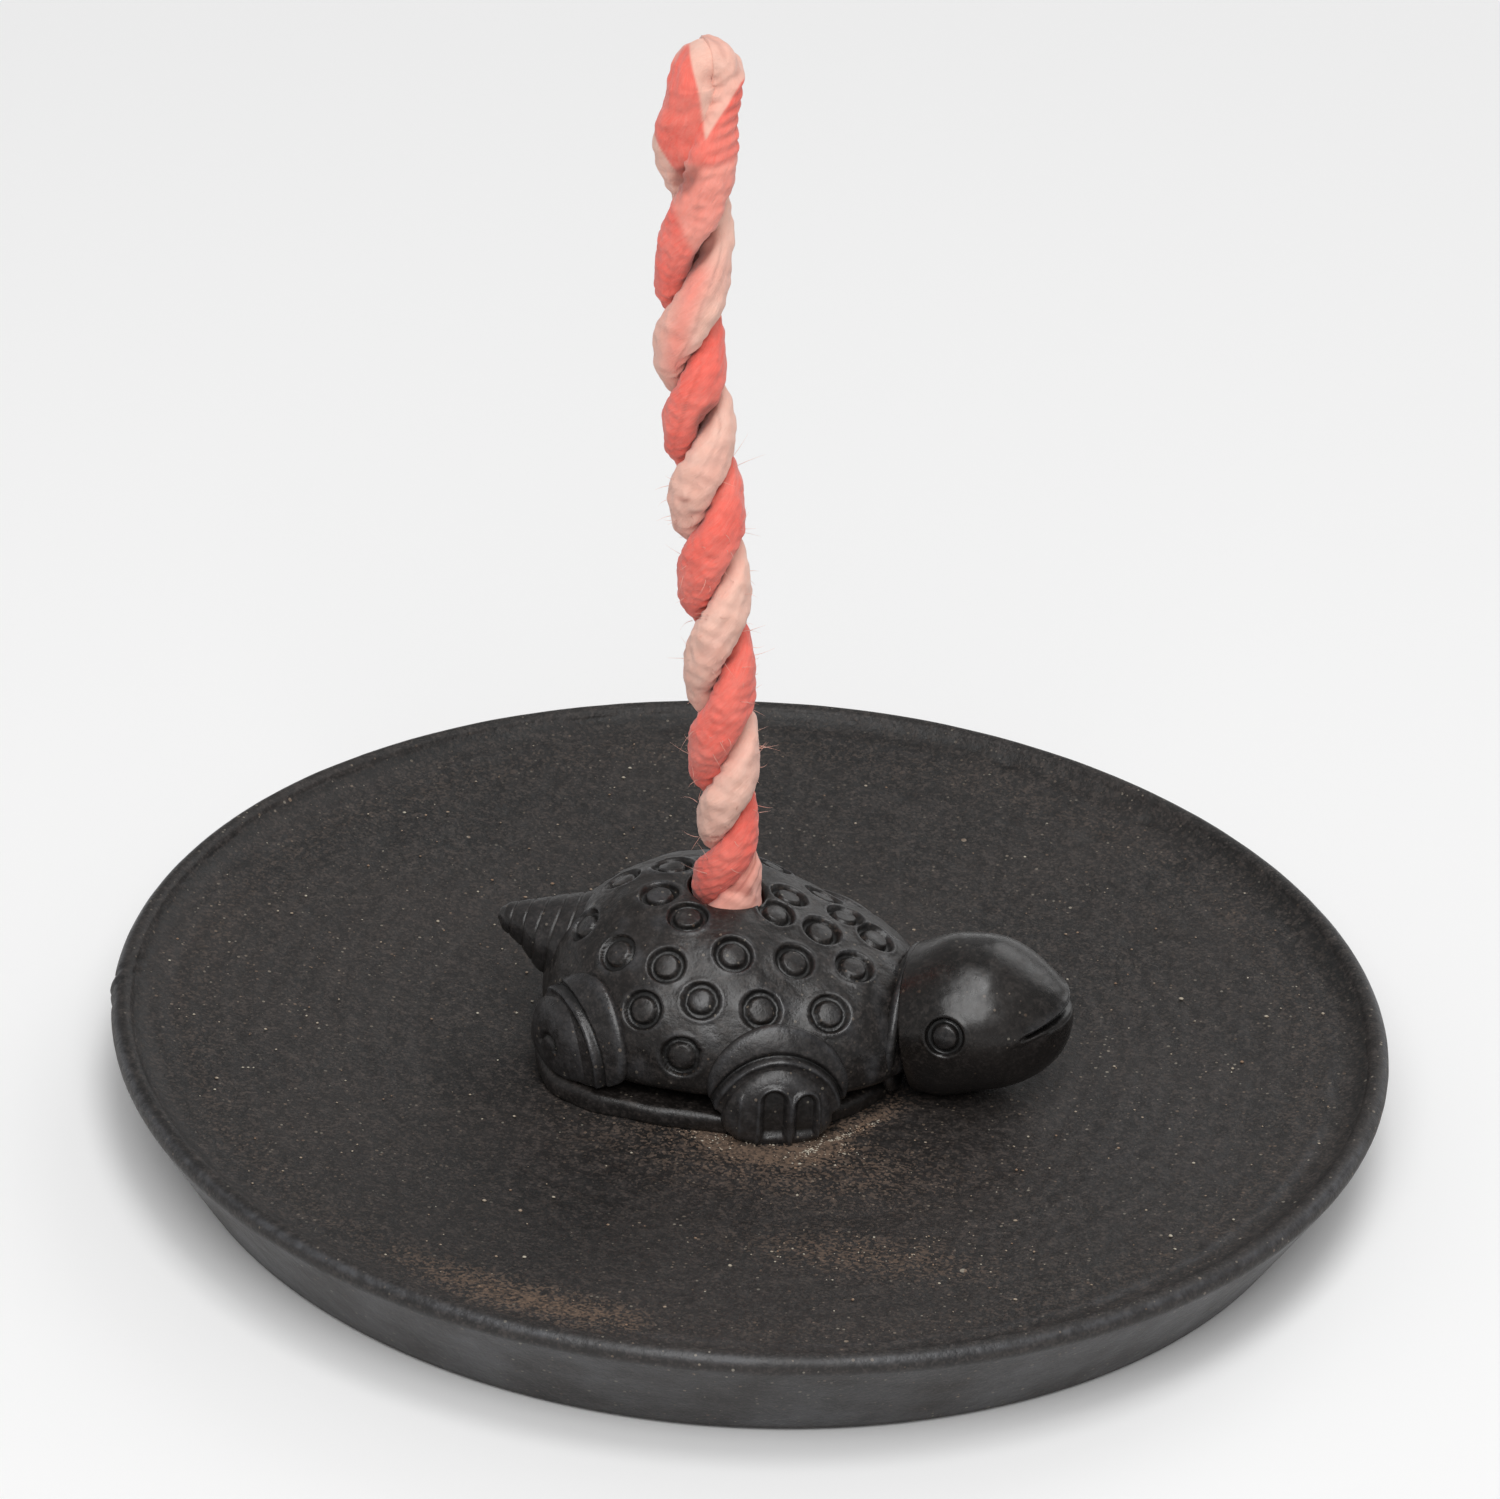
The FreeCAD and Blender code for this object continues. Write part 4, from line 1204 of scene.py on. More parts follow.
def lobe(form, power):
    """Rounded lobe laid on the shell's side, with its own outward, lengthways and upward shares.

    A power below 1 flattens its face and squares its edge, like pressed clay; its back sinks in."""
    tortoise = sizes("tortoise")
    ball = ball_grid(LOBE_ROWS, LOBE_COLUMNS)
    round_share = np.hypot(ball[..., 1], ball[..., 2])
    ring = round_share ** power / round_share
    out = np.sign(ball[..., 0]) * np.abs(ball[..., 0]) ** power
    along, up = ball[..., 1] * ring, ball[..., 2] * ring
    height = form.level + up * np.where(up > 0, form.rise, form.fall)
    equator = tortoise.shell_equator
    points, normal = flank(form.way - along * form.half_length / arc_rate(form.way), height - equator)
    points = points + normal * np.where(out > 0, form.proud * out, LOBE_BACK * out)[..., None]
    return points + np.array([tortoise.peak_x, 0.0, equator]), normal, out, along, up


def cuff_surface(cuff, foot, seed):
    """Low disc of clay with a worn edge, and an incised arc with painted shade in it and a ridge inside it
    round the foot; the whole disc is lightened a little as painted light.
    """
    points, normal, out, along, up = lobe(cuff, CUFF_POWER)
    face = smooth(out / 0.3)
    shift = (cuff.way - foot.way) * arc_rate(cuff.way)
    arch = np.hypot((along * cuff.half_length - shift) / (foot.half_length + CUFF_MARGIN),
                    (points[..., 2] - foot.level) / (foot.rise + CUFF_MARGIN))
    incised = bell(arch - 1.06, 0.035) * face
    ridge = bell(arch - 0.97, 0.035) * face
    edge = bell(np.hypot(along, up) - 0.93, 0.05) * face
    move = 0.12 * ripple(points, 7.0, seed) - 0.4 * incised + 0.28 * ridge
    # The 0.2 lightens the whole cuff as painted light
    wear = 0.2 + 0.55 * ridge + 0.4 * edge
    return points + normal * move[..., None], clipped(groove=incised, wear=wear)


def foot_surface(foot, toes, seed):
    """Foot standing out of its cuff, with hollow toe slots and a rib, or else with a stamped arc."""
    points, normal, out, along, _ = lobe(foot, FOOT_POWER)
    height = points[..., 2]
    facing = smooth(out / 0.25)
    groove = np.zeros(out.shape)
    wear = 0.25 * bell(out - 0.8, 0.2)
    sink = -0.14 * ripple(points, 6.0, seed)
    if toes:
        for middle, half, top in TOE_SLOTS:
            slot = np.hypot((along - middle) / half, np.maximum(height - top, 0.0) / 0.95)
            hollow = smooth((1.05 - slot) / 0.3) * facing * smooth((height - 0.5) / 0.9)
            rim = bell(slot - 1.3, 0.18) * facing * smooth((top + 1.7 - height) / 0.6)
            sink += 0.55 * hollow - 0.3 * rim
            # Painted shade in the toe slots
            groove = np.maximum(groove, 0.4 * hollow)
            wear = np.maximum(wear, 0.6 * rim)
        rib = bell(along + 0.68, 0.05) * facing * smooth(5.4 - height)
        sink -= 0.2 * rib
        wear = np.maximum(wear, 0.5 * rib)
    else:
        stamp = bell(np.hypot((along - 0.05) / 0.2, height - 4.3) - 1.0, 0.22) * facing * (height > 4.2)
        sink += 0.3 * stamp
        # Painted shade in the stamped arc
        groove = np.maximum(groove, 0.8 * stamp)
    # The added 0.2 lightens the whole foot as painted light
    marks = {"groove": groove, "wear": np.clip(wear + 0.2, 0, 1) * (1 - groove)}
    return points - normal * sink[..., None], marks


def on_side(surfaces, side):
    """Put leg surfaces on the left or right side, keep them above the floor, and set them down."""
    placed = []
    for points, values in surfaces:
        points = points * np.array([1.0, side, 1.0])
        points[..., 2] = np.maximum(points[..., 2], LOWEST)
        shade = 0.3 * smooth((0.9 - points[..., 2]) / 0.9)
        marks = clipped(groove=np.maximum(values["groove"], shade), wear=values["wear"])
        placed.append((points + tortoise_base(), marks))
    return placed


class BURNER_OT_legs(bpy.types.Operator):
    """Make the four legs, each a cuff with a foot standing out of it"""

    bl_idname = "burner.legs"
    bl_label = "Legs"

    def execute(self, context):
        ends = (("front", FRONT_CUFF, FRONT_FOOT, True), ("rear", REAR_CUFF, REAR_FOOT, False))
        for side_name, side, seed in (("left", 1.0, 101), ("right", -1.0, 111)):
            for end_name, cuff, foot, toes in ends:
                name = end_name + "_" + side_name + "_leg"
                surfaces = [cuff_surface(cuff, foot, seed), foot_surface(foot, toes, seed + 1)]
                clay_piece(name + "_modelled", on_side(surfaces, side), "shell", name)
        return {"FINISHED"}


# Incense rope

PLY_ROWS = 640
FOLD_ROWS = 60
PLY_COLUMNS = 80
PLY_POWER = 0.86
STRAIGHT_SHARE = 0.55
CORE_COLUMNS = 24
CORE_SHARE = 0.66
CORE_ROW_STEP = 4
CORE_SHOWS = 0.25
FIBRE_COUNT = 150
FIBRE_SEED = 141
FIBRE_ROWS = 5
FIBRE_CORNERS = 3
FIBRE_RADIUS = 0.028
UP = np.array([0.0, 0.0, 1.0])

# Heights at which the plies cross, in millimetres, and the red ply's angle at one of them
CROSSINGS = (-4.0, 2.0, 8.0, 14.0, 19.7, 27.6, 36.4, 44.6, 52.0, 58.7, 66.1, 76.1, 95.0)
TURN_HEIGHT = 27.6
TURN_THERE = math.radians(-79.0)
TURN_SAMPLES = 400
TURN_BLUR = 41

# Smudges of the wrappers, and slanting dimples darkened as painted shade: sideways from the rope's middle on
# its facing side, and height
SMUDGES = ((-1.2, 31.1), (-1.7, 49.9), (-1.0, 48.6))
SHADED_DIMPLES = ((-0.9, 79.6), (0.6, 72.3), (0.9, 57.4))


def rope_middle(height):
    """Middle line of the rope along the socket's axis: straight, then coming upright by a parabola.

    It sways a little on its way, and the fold itself sits a little to the head's side."""
    rope = sizes("rope")
    straight = rope.height * STRAIGHT_SHARE
    over = np.maximum(height - straight, 0.0)
    back = math.tan(rope.lean) * over ** 2 / (2.0 * (rope.height - straight))
    nod = rope.fold_nod * smooth((height - rope.height + 8.2) / 5.0)
    sway = 0.4 * smooth((52.0 - height) / 8.0) - 0.5 * smooth((15.0 - height) / 5.0)
    sway = sway - 0.85 * bell(height - 64.0, 7.5)
    return np.stack([back + nod + sway, 0.0 * height, height], -1)


def rope_girth(height):
    """Thickness of the plies against their full size: tighter toward the socket, looser below the fold."""
    tight = 0.12 * smooth((26.0 - height) / 10.0) * smooth((height - 9.0) / 5.0)
    return 1.0 - tight + 0.12 * bell(height - 80.0, 5.5)


def rope_turn(height):
    """Angle of the red ply round the rope: half a turn from one crossing to the next, evened out."""
    half_turns = np.arange(len(CROSSINGS)) - CROSSINGS.index(TURN_HEIGHT)
    grid = np.linspace(CROSSINGS[0], CROSSINGS[-1], TURN_SAMPLES)
    steps = np.interp(grid, CROSSINGS, half_turns)
    kernel = np.hanning(TURN_BLUR)
    half = TURN_BLUR // 2
    before = 2 * steps[0] - steps[half:0:-1]
    after = 2 * steps[-1] - steps[-2:-2 - half:-1]
    steps = np.convolve(np.concatenate([before, steps, after]), kernel / kernel.sum(), "valid")
    return TURN_THERE + math.pi * np.interp(height, grid, steps)


def ply_path(ply):
    """Frames up one ply and over its half of the fold: middle, inward, sideways, height, nearness to it.

    The pale ply bulges outwards and forwards below the fold."""
    rope = sizes("rope")
    fold = rope.height - rope.fold_rise - rope.half_thickness
    height = np.linspace(0.0, fold, PLY_ROWS)
    angle = rope_turn(height) + math.pi * ply
    near = smooth((height - fold + rope.fold_length) / rope.fold_length)
    offset = (rope.offset + (rope.fold_offset - rope.offset) * near) * rope_girth(height)
    offset = offset + bell(height - 79.7, 5.2) * ply
    out = np.stack([np.cos(angle), np.sin(angle), 0 * angle], -1)
    around = np.stack([-np.sin(angle), np.cos(angle), 0 * angle], -1)
    climb = 1.0 / np.gradient(angle, height)
    rise = climb / np.hypot(climb, offset)
    run = offset / np.hypot(climb, offset) * (1 - near)
    forward = np.array([math.sin(rope.dye_turn), -math.cos(rope.dye_turn), 0.0])
    bulge = 0.5 * bell(height - 82.0, 4.0) * ply
    middle = rope_middle(height) + out * offset[:, None] + forward * bulge[:, None]
    side = unit(around * rise[:, None] - UP * run[:, None])
    arch = np.linspace(0.03, 1.0, FOLD_ROWS)[:, None] * math.pi / 2
    top = rope_middle(np.array(fold))
    arch_middle = top + np.cos(arch) * out[-1] * offset[-1] + np.sin(arch) * UP * rope.fold_rise
    arch_inward = -(np.cos(arch) * out[-1] + np.sin(arch) * UP)
    arch_side = np.broadcast_to(around[-1], arch_middle.shape)
    return (np.concatenate([middle, arch_middle]), np.concatenate([-out, arch_inward]),
            np.concatenate([side, arch_side]), np.concatenate([height, fold + arch[:, 0] * rope.fold_rise]),
            np.concatenate([near, np.ones(FOLD_ROWS)]))


def stand(points):
    """Lean rope points with the socket and set them in it."""
    tortoise = sizes("tortoise")
    rope = sizes("rope")
    axis = np.array([-math.sin(rope.lean), 0.0, math.cos(rope.lean)])
    mouth = np.array([tortoise.socket_x, 0.0, tortoise.shell_equator + tortoise.shell_crown])
    seat = mouth - axis * (tortoise.socket_depth - rope.seat_gap)
    return pitched(points, rope.lean) + seat + tortoise_base()


def frontal(points):
    """Rope points against the side that the dye fields face: sideways from the middle, and toward it."""
    away = points - rope_middle(points[..., 2])
    dye_turn = sizes("rope").dye_turn
    sine, cosine = math.sin(dye_turn), math.cos(dye_turn)
    return away[..., 0] * cosine + away[..., 1] * sine, away[..., 0] * sine - away[..., 1] * cosine


def shaded_dimple_marks(points):
    """Slanting dimples on the facing side, darkened as painted shade, from 0 to 1."""
    side, near = frontal(points)
    marks = np.zeros(points.shape[:2])
    for dimple_side, dimple_height in SHADED_DIMPLES:
        right = side - dimple_side
        above = points[..., 2] - dimple_height
        marks = np.maximum(marks, bell(np.hypot((right - 0.8 * above) / 0.8, (right + above) / 2.3), 1.0))
    return marks * (near > 0)


def smudge_marks(points):
    """Short level smudges on the facing side, from 0 to 1."""
    side, near = frontal(points)
    marks = np.zeros(points.shape[:2])
    for smudge_side, smudge_height in SMUDGES:
        marks += bell(np.hypot((side - smudge_side) / 0.8, (points[..., 2] - smudge_height) / 0.3), 1.0)
    return marks * (near > 0)


def ply_surface(ply):
    """Oval paper tube along one ply, pressed flat against the other, pleated, and wrapped by a slow seam.

    The seam is a low step that winds round the tube; pleats run aslant and deepen toward the middle and the
    fold, where the tube is plumper so that the fold has no eye. Slanting dimples are darkened as painted
    shade;
    the crease mark is also painted shade at the seam's edge, in the pleats, where the ply lies against the
    other, at the socket's mouth and in tucks, and it holds real smudges."""
    rope = sizes("rope")
    middle, inward, side, level, near = ply_path(ply)
    way = turns(PLY_COLUMNS)
    cosine, sine = np.cos(way), np.sin(way)
    across = np.sign(cosine) * np.abs(cosine) ** PLY_POWER * rope.half_thickness
    along = np.sign(sine) * np.abs(sine) ** PLY_POWER * rope.half_width
    row = level[:, None]
    near = near[:, None]
    swell = rope_girth(row) + 0.045 * np.sin(row * 0.65 + 2.0 * ply) + 0.035 * np.sin(row * 0.27 + 1.0)
    plump = 1.0 + (0.25 * near + 1.45 * bell(row - 80.6, 5.2) * ply) * np.maximum(cosine, 0.0)
    seam_way = 2.4 + 0.34 * row + 2.6 * ply + 0.5 * np.sin(row * 0.21)
    around = (way - seam_way + math.pi) % TAU - math.pi
    seam = smooth((around + 0.12) / 0.16) * smooth((1.5 - around) / 1.5)
    patch = 0.5 + 0.5 * np.sin(row * 0.83 + way + 4.0 * ply)
    inner = (0.2 + 0.8 * smooth(cosine + 0.25)) * patch * (1.0 - 0.7 * ply * near)
    outer = 0.7 * smooth(-cosine / 0.5) * (1 - ply) * near
    pleat = np.sin(row * 4.4 + 2.4 * way + 3.0 * np.sin(row * 0.31 + ply)) * (inner + outer)
    points = (middle[:, None] + inward[:, None] * (across * swell * plump)[..., None]
              + side[:, None] * (along * swell)[..., None])
    normal = unit(inward[:, None] * (across / rope.half_thickness ** 2)[:, None]
                  + side[:, None] * (along / rope.half_width ** 2)[:, None])
    crumple = waves(points, (0.075, 3.0, 121 + ply, 10), (0.055, 1.1, 123 + ply, 12))
    dimple_shade = shaded_dimple_marks(points)
    points = points + normal * (0.15 * seam + 0.13 * pleat + crumple - 0.4 * dimple_shade)[..., None]
    edge = bell(around, 0.05) * np.clip(0.45 + 0.55 * ripple(points, 4.0, 127 + ply), 0, 1)
    # Painted shade where the ply lies against the other
    seat = smooth((cosine + 0.05) / 0.8) * (0.32 + 0.5 * np.clip(ripple(points, 5.0, 141), 0, 1))
    crease = 0.42 * edge + 0.5 * np.clip(-pleat - 0.3, 0, 1) + seat * (1.0 - 0.8 * near)
    # Painted shade at the socket's mouth and in tucks there
    foot = bell(row - 10.0, 0.9) * np.clip(0.3 + 0.7 * ripple(points, 1.4, 129), 0, 1)
    tuck_shade = np.clip(np.sin(11.0 * way + 0.5 * row + 2.0 * np.sin(row)) - 0.5, 0, 1) * bell(row - 11.5, 2.2)
    crease = crease + 0.8 * (foot + 1.6 * tuck_shade) + 0.7 * ply * smudge_marks(points) + 1.6 * dimple_shade
    marks = clipped(tone=ply_tone(ply, row, points), crease=crease)
    return stand(points), dict(marks, lay=row + 0 * way, girth=1.8 * way + 0 * row)


def ply_tone(ply, level, points):
    """Dye of a wrap, 0 red to 1 pale: plain low down, two-toned in the upper third and at the fold.

    The two-toned fields are bounded by straight lines and bells over height and sideways place."""
    blush = 0.07 * ripple(points, 5.0, 131 + ply)
    side, near = frontal(points)
    height = points[..., 2]
    facing = smooth((near + 0.6) / 0.8)
    wedge_left = -1.4 + 0.3 * (89.3 - height)
    if ply == 0:
        edge = -2.0 + 0.49 * (76.0 - height)
        coral = smooth(side - edge) * smooth((height - 71.0) / 1.5) * smooth(81.5 - height) * facing
        wedge_right = 3.0 - 0.47 * (87.8 - height) + 4.0 * smooth((height - 87.6) / 0.8)
        wedge = smooth((side - wedge_left) / 0.3) * smooth((wedge_right - side) / 0.3)
        wedge = wedge * smooth((height - 81.4) / 0.6) * np.maximum(facing, smooth(height - 86.5))
        return 0.03 + 0.4 * coral + 0.85 * wedge + blush
    middle = bell(side + 0.55 - 0.19 * (height - 66.0), 1.25)
    coral = smooth((height - 60.5) / 2.0) * smooth((72.5 - height) / 2.0) * middle * facing
    red_from = 78.6 + 4.7 * np.clip((-0.8 - side) / 3.2, 0.0, 1.0) ** 1.6
    lobe_facing = smooth((near + 1.2) / 1.6)
    lobe_from = smooth((height - red_from) / (0.5 + 2.5 * (1.0 - lobe_facing)))
    red_lobe = lobe_from * smooth((wedge_left + 0.3 - side) / 0.3) * lobe_facing
    salmon = 0.28 * smooth((15.0 - level) / 3.0)
    return 0.97 - 0.55 * coral - 0.9 * red_lobe - salmon + blush


def core_surface(ply):
    """Powder inside a ply: an oval tube of two thirds the wrapper's size that shows at its lower end."""
    rope = sizes("rope")
    middle, inward, side = ply_path(ply)[:3]
    way = turns(CORE_COLUMNS)
    wide = inward[:, None] * (np.cos(way) * rope.half_thickness * CORE_SHARE)[:, None]
    tall = side[:, None] * (np.sin(way) * rope.half_width * CORE_SHARE)[:, None]
    points = (middle[:, None] + wide + tall)[::CORE_ROW_STEP]
    points[0] -= unit(middle[1] - middle[0]) * CORE_SHOWS
    return stand(points), {"grain": 0.0}


def fibre_surfaces():
    """Loose paper fibres: thin three-sided hairs that leave a ply's surface, bend and taper to a point."""
    rope = sizes("rope")
    rng = np.random.default_rng(FIBRE_SEED)
    surfaces = []
    paths = [ply_path(0), ply_path(1)]
    share = np.linspace(0.0, 1.0, FIBRE_ROWS)[:, None]
    corner = turns(FIBRE_CORNERS)[:, None]
    for index in range(FIBRE_COUNT):
        middle, inward, side = paths[index % 2][:3]
        spot_row = int(rng.uniform(0.13, 0.55) * len(middle))
        way = rng.uniform(0.55, 1.45) * math.pi
        across = inward[spot_row] * math.cos(way)
        along = side[spot_row] * math.sin(way)
        start = middle[spot_row] + across * rope.half_thickness + along * rope.half_width
        heading = unit(across + along + rng.normal(size=3) * 0.7)
        sag = unit(rng.normal(size=3))
        long = rng.uniform(0.6, 2.2)
        path = start + heading * share * long + sag * share ** 2 * long * 0.5
        thick = FIBRE_RADIUS * (1.15 - share)
        first = unit(np.cross(heading, sag + 0.01))
        second = np.cross(heading, first)
        ring = np.cos(corner) * first + np.sin(corner) * second
        surfaces.append((stand(path[:, None] + ring * thick[..., None]), {"tone": 0.85}))
    return surfaces


class BURNER_OT_rope(bpy.types.Operator):
    """Make the red and pale plies, their loose fibres and the powder inside them"""

    bl_idname = "burner.rope"
    bl_label = "Incense rope"

    def execute(self, context):
        paper = paper_material()
        for ply, colour in enumerate(("red", "pale")):
            make_piece(colour + "_ply", [ply_surface(ply)], INCENSE, paper,
                       (colour + "_paper_wrapper",), PAPER_MARKS)
        make_piece("paper_fibres", fibre_surfaces(), INCENSE, paper, (), PAPER_MARKS)
        cores = [core_surface(0), core_surface(1)]
        make_piece("powder_core", cores, INCENSE, powder_material(), ("incense_filling",),
                   ("grain",))
        return {"FINISHED"}


# Loose powder

CRUMB_COUNT = 1050
CRUMB_SEED = 151
CRUMB_SIDES = 6

# Shares of the crumbs placed once the ridge, the paw's heap and the strewn patch have had theirs
RIDGE_SHARE = 0.14
PAW_SHARE = 0.5
STREWN_SHARE = 0.58

# Ovals that stay free of crumbs, from the tortoise's place: its body's middle and halves, and its head
BODY_X = -1.0
BODY_HALVES = (17.5, 15.5)
HEAD_CLEAR_X = 22.0
HEAD_CLEAR = 8.5


def crumb_place(rng, index, base, edge_radius):
    """Place and size of one crumb: on the ridge, by the paw, in the strewn patch, or on the whole floor."""
    if index < CRUMB_COUNT * RIDGE_SHARE:
        along = rng.uniform(-0.05, 0.85)
        x = base[0] + 10.6 + 6.5 * along
        y = base[1] - 15.8 + 8.6 * along + 0.3 * rng.normal()
        return x, y, rng.uniform(0.04, 0.1)
    if index < CRUMB_COUNT * PAW_SHARE:
        along = rng.uniform(-1.0, 1.0)
        x = base[0] + 7.5 + 8.0 * along
        y = base[1] - 16.4 + 3.2 * abs(along) + 1.6 * rng.normal()
        return x, y, rng.uniform(0.04, 0.11)
    if index < CRUMB_COUNT * STREWN_SHARE:
        x = STREWN_PLACE[0] + 7.0 * rng.normal()
        y = STREWN_PLACE[1] + 0.35 * (x - STREWN_PLACE[0]) + 2.2 * rng.normal()
        return x, y, rng.uniform(0.04, 0.11)
    far = math.sqrt(rng.uniform(0.12, 1.0)) * (edge_radius - 1.5)
    heading = rng.uniform(0, TAU)
    return far * math.cos(heading), far * math.sin(heading), rng.uniform(0.04, 0.2) * rng.uniform(0.5, 1.0)


def crumb_surfaces():
    """Small crumbs on the dish: squashed six-sided grains of three rings, resting on the rising floor."""
    dish = sizes("dish")
    rng = np.random.default_rng(CRUMB_SEED)
    base = tortoise_base()
    floor = base[2]
    edge_radius = dish.radius - dish.rim_width
    slope = (dish.height - dish.edge_drop - floor) / (edge_radius - dish.flat_radius)
    way = turns(CRUMB_SIDES)
    surfaces = []
    for index in range(CRUMB_COUNT):
        x, y, size = crumb_place(rng, index, base, edge_radius)
        from_body = math.hypot((x - base[0] - BODY_X) / BODY_HALVES[0], (y - base[1]) / BODY_HALVES[1])
        from_head = math.hypot(x - base[0] - HEAD_CLEAR_X, y - base[1])
        if from_body < 0.98 or from_head < HEAD_CLEAR:
            continue
        level = floor + max(0.0, math.hypot(x, y) - dish.flat_radius) * slope
        squash = rng.uniform(0.5, 0.9)
        end = 0.5 * size + 0 * way
        rings = np.stack([end, size * rng.uniform(0.8, 1.2, CRUMB_SIDES), end])
        lift = np.array([-0.6, 0.0, 0.6])[:, None] * size * squash
        points = np.stack([x + rings * np.cos(way) * rng.uniform(0.8, 1.5), y + rings * np.sin(way),
                           level + 0.4 * size + lift + 0 * way], -1)
        surfaces.append((points, {}))
    return surfaces


class BURNER_OT_crumbs(bpy.types.Operator):
    """Scatter crumbs of incense powder on the dish"""

    bl_idname = "burner.crumbs"
    bl_label = "Powder crumbs"

    def execute(self, context):
        make_piece("powder_crumbs", crumb_surfaces(), BURNER, crumb_material())
        return {"FINISHED"}


# Stage

# Camera: turn and rise of its place round the rim's middle, then tilt, swing and roll of its aim; metres
CAMERA_TURN = math.radians(11.0)
CAMERA_RISE = math.radians(31.006)
CAMERA_TILT = math.radians(28.841)
CAMERA_SWING = math.radians(0.164)
CAMERA_ROLL = math.radians(3.266)
CAMERA_AWAY = 0.6
CAMERA_LENS = 159.64
CAMERA_SENSOR = 36.0
CAMERA_CLIP = 0.01

# Lamps as a name, a place, an aim, a size in metres and watts
LAMPS = (
    ("overhead_lamp", (0.14, -0.2, 1.27), (0.0, 0.0, 0.02), 0.5, 4.1),
    ("front_lamp", (0.18, -1.12, 1.35), (0.0, 0.0, 0.05), 1.3, 20.0),
    ("back_lamp", (0.4, 1.25, 0.8), (0.0, 0.0, 0.02), 1.0, 3.4),
)
LAMP_UP = (0.0, 1.0, 0.001)
TABLE_HALF = 2.5
TABLE_ROUGHNESS = 0.9
TABLE_SPECULAR = 0.1
WORLD_COLOUR = (1.0, 1.0, 1.0, 1.0)
WORLD_STRENGTH = 0.28


def set_up(name, data, right, up, back, place):
    """An object with the given axes and place, linked to the scene."""
    item = bpy.data.objects.new(name, data)
    bpy.context.scene.collection.objects.link(item)
    matrix = np.eye(4)
    matrix[:3] = np.stack([right, up, back, place], -1)
    item.matrix_world = Matrix(matrix.tolist())
    return item


def place_camera():
    """Camera at the photograph's view: placed by turn and rise round the rim's middle, then aimed."""
    turned = np.array([[math.cos(CAMERA_TURN), -math.sin(CAMERA_TURN), 0.0],
                       [math.sin(CAMERA_TURN), math.cos(CAMERA_TURN), 0.0],
                       [0.0, 0.0, 1.0]])
    place = CAMERA_AWAY * np.array([0.0, -math.cos(CAMERA_RISE), math.sin(CAMERA_RISE)])
    back = np.array([math.sin(CAMERA_SWING) * math.cos(CAMERA_TILT),
                     -math.cos(CAMERA_SWING) * math.cos(CAMERA_TILT),
                     math.sin(CAMERA_TILT)])
    right = np.array([math.cos(CAMERA_SWING), math.sin(CAMERA_SWING), 0.0])
    up = np.cross(back, right)
    rolled_right = right * math.cos(CAMERA_ROLL) + up * math.sin(CAMERA_ROLL)
    rolled_up = up * math.cos(CAMERA_ROLL) - right * math.sin(CAMERA_ROLL)
    rim_middle = np.array([0.0, 0.0, sizes("dish").height * MM])
    data = bpy.data.cameras.new("camera")
    data.sensor_width = CAMERA_SENSOR
    data.lens = CAMERA_LENS
    data.clip_start = CAMERA_CLIP
    axes = (turned @ rolled_right, turned @ rolled_up, turned @ back)
    bpy.context.scene.camera = set_up("camera", data, *axes, turned @ place + rim_middle)


def add_light(name, place, aim, size, watts):
    """Soft round lamp at a place, turned to its aim."""
    data = bpy.data.lights.new(name, "AREA")
    data.shape = "DISK"
    data.size = size
    data.energy = watts
    back = unit(np.array(place) - np.array(aim))
    right = unit(np.cross(LAMP_UP, back))
    set_up(name, data, right, np.cross(back, right), back, place)


def add_table():
    """Wide flat table top that is no part of the burner."""
    material, _, shader, _ = new_material("pale_table", TABLE_ROUGHNESS, TABLE_SPECULAR)
    shader.inputs["Base Color"].default_value = tuple(finishes().table) + (1.0,)
    corners = [(-TABLE_HALF, -TABLE_HALF, 0), (TABLE_HALF, -TABLE_HALF, 0), (TABLE_HALF, TABLE_HALF, 0),
               (-TABLE_HALF, TABLE_HALF, 0)]
    mesh = bpy.data.meshes.new("table")
    mesh.from_pydata(corners, [], [(0, 1, 2, 3)])
    mesh.materials.append(material)
    table = bpy.data.objects.new("table", mesh)
    bpy.context.scene.collection.objects.link(table)


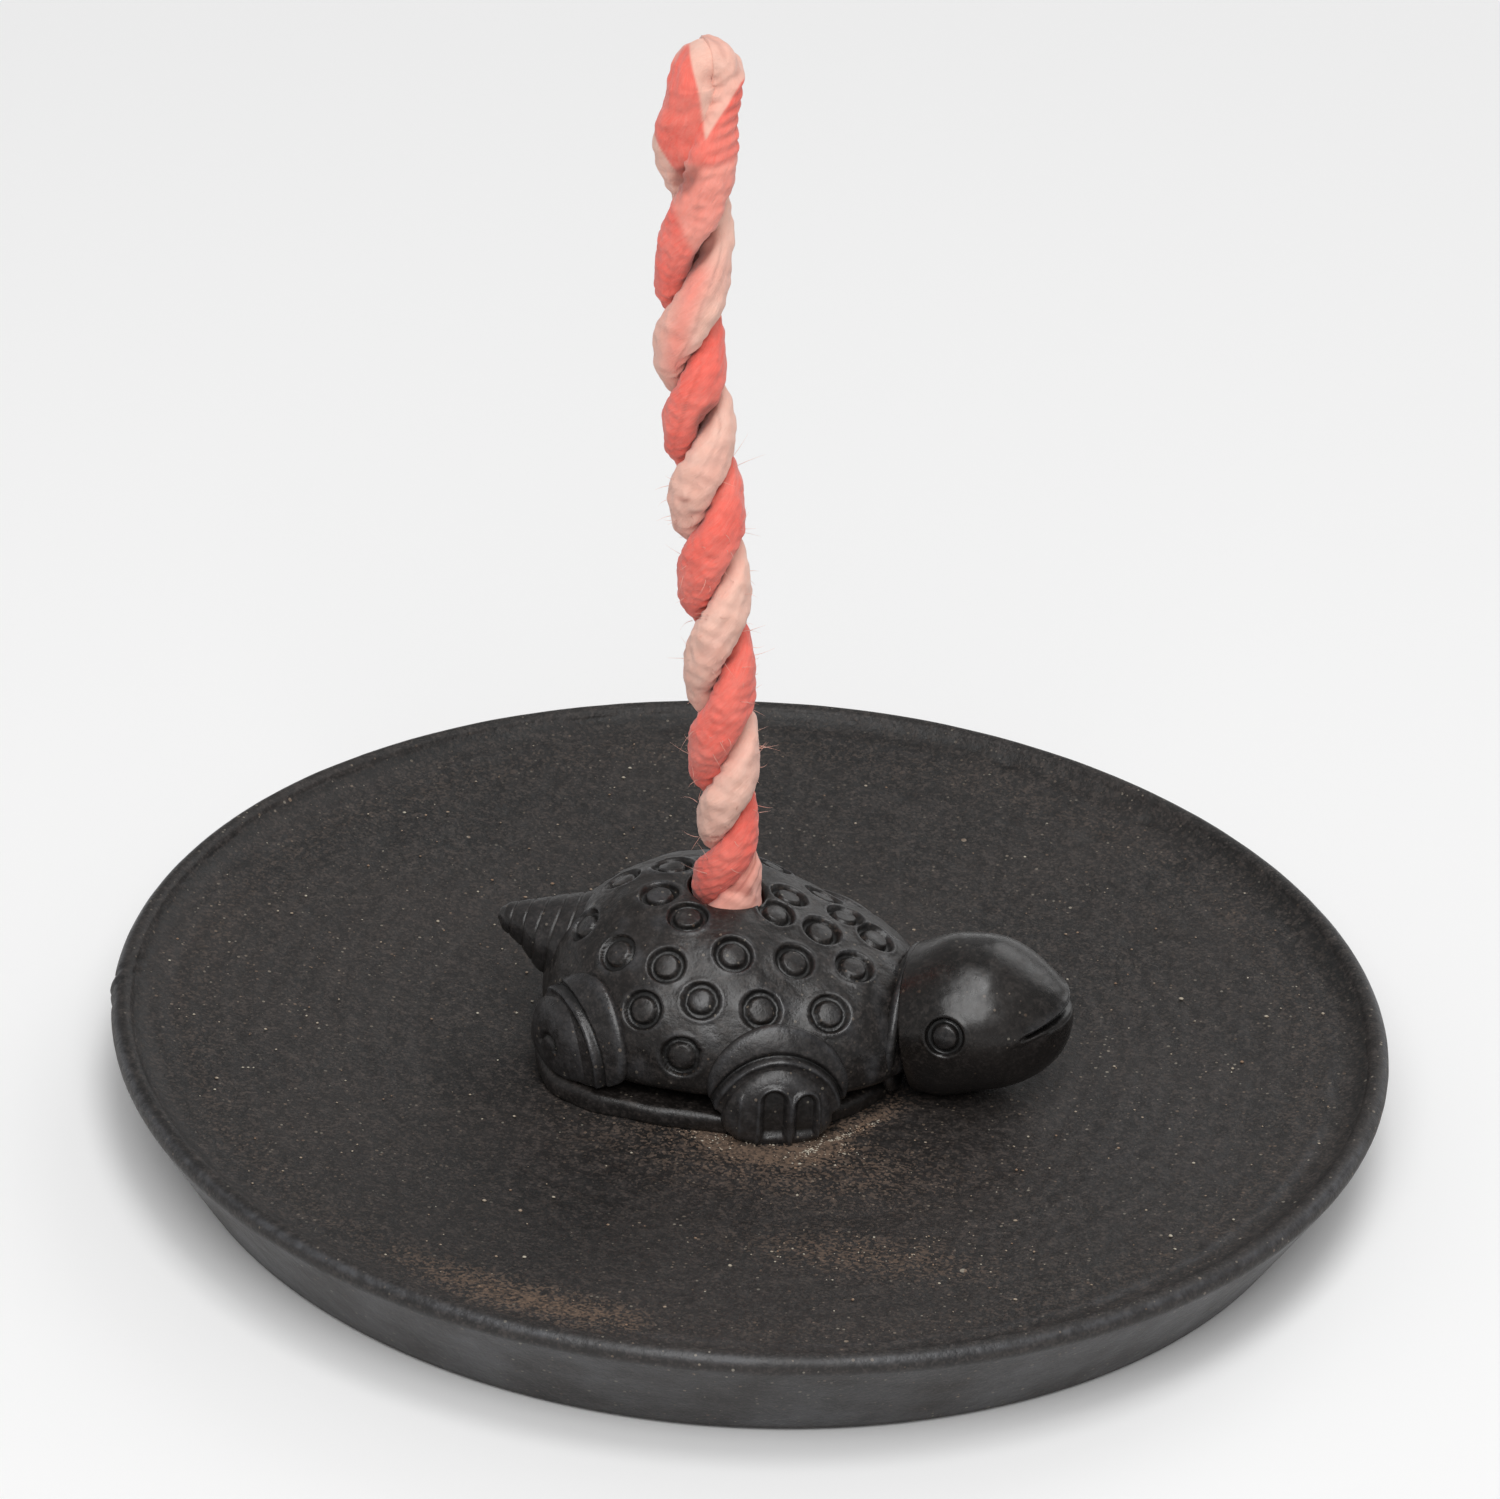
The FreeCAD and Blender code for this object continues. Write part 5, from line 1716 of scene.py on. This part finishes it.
class BURNER_OT_stage(bpy.types.Operator):
    """Set the pale table, the soft lamps, the plain world and the camera"""

    bl_idname = "burner.stage"
    bl_label = "Stage"

    def execute(self, context):
        add_table()
        world = bpy.data.worlds.new("plain_world")
        world.use_nodes = True
        background = world.node_tree.nodes["Background"]
        background.inputs["Color"].default_value = WORLD_COLOUR
        background.inputs["Strength"].default_value = WORLD_STRENGTH
        context.scene.world = world
        for lamp in LAMPS:
            add_light(*lamp)
        context.scene.view_settings.view_transform = "Standard"
        place_camera()
        return {"FINISHED"}


STEPS = ("dish", "belly", "shell", "head", "tail", "legs", "rope", "crumbs", "stage")
GROUPS = {"burner_dish": DishSizes, "burner_tortoise": TortoiseSizes, "burner_rope": RopeSizes,
          "burner_finish": Finishes}


class BURNER_PT_panel(bpy.types.Panel):
    """Lists the sizes, finishes and pieces of the burner"""

    bl_idname = "BURNER_PT_panel"
    bl_label = "Incense burner"
    bl_space_type = "VIEW_3D"
    bl_region_type = "UI"
    bl_category = "Incense burner"

    def draw(self, context):
        layout = self.layout
        for name in GROUPS:
            group = getattr(context.scene, name)
            box = layout.box()
            for key in group.__annotations__:
                box.prop(group, key)
        for step in STEPS:
            layout.operator("burner." + step)


CLASSES = (DishSizes, TortoiseSizes, RopeSizes, Finishes, BURNER_OT_dish, BURNER_OT_belly, BURNER_OT_shell,
           BURNER_OT_head, BURNER_OT_tail, BURNER_OT_legs, BURNER_OT_rope, BURNER_OT_crumbs, BURNER_OT_stage,
           BURNER_PT_panel)


def register():
    """Register the classes and hang the property groups on the scene."""
    for item in CLASSES:
        bpy.utils.register_class(item)
    for name, group in GROUPS.items():
        setattr(bpy.types.Scene, name, bpy.props.PointerProperty(type=group))


def unregister():
    """Take the property groups and the classes away again."""
    for name in GROUPS:
        delattr(bpy.types.Scene, name)
    for item in reversed(CLASSES):
        bpy.utils.unregister_class(item)


def main():
    register()
    for step in STEPS:
        getattr(bpy.ops.burner, step)()


if __name__ == "__main__":
    main()
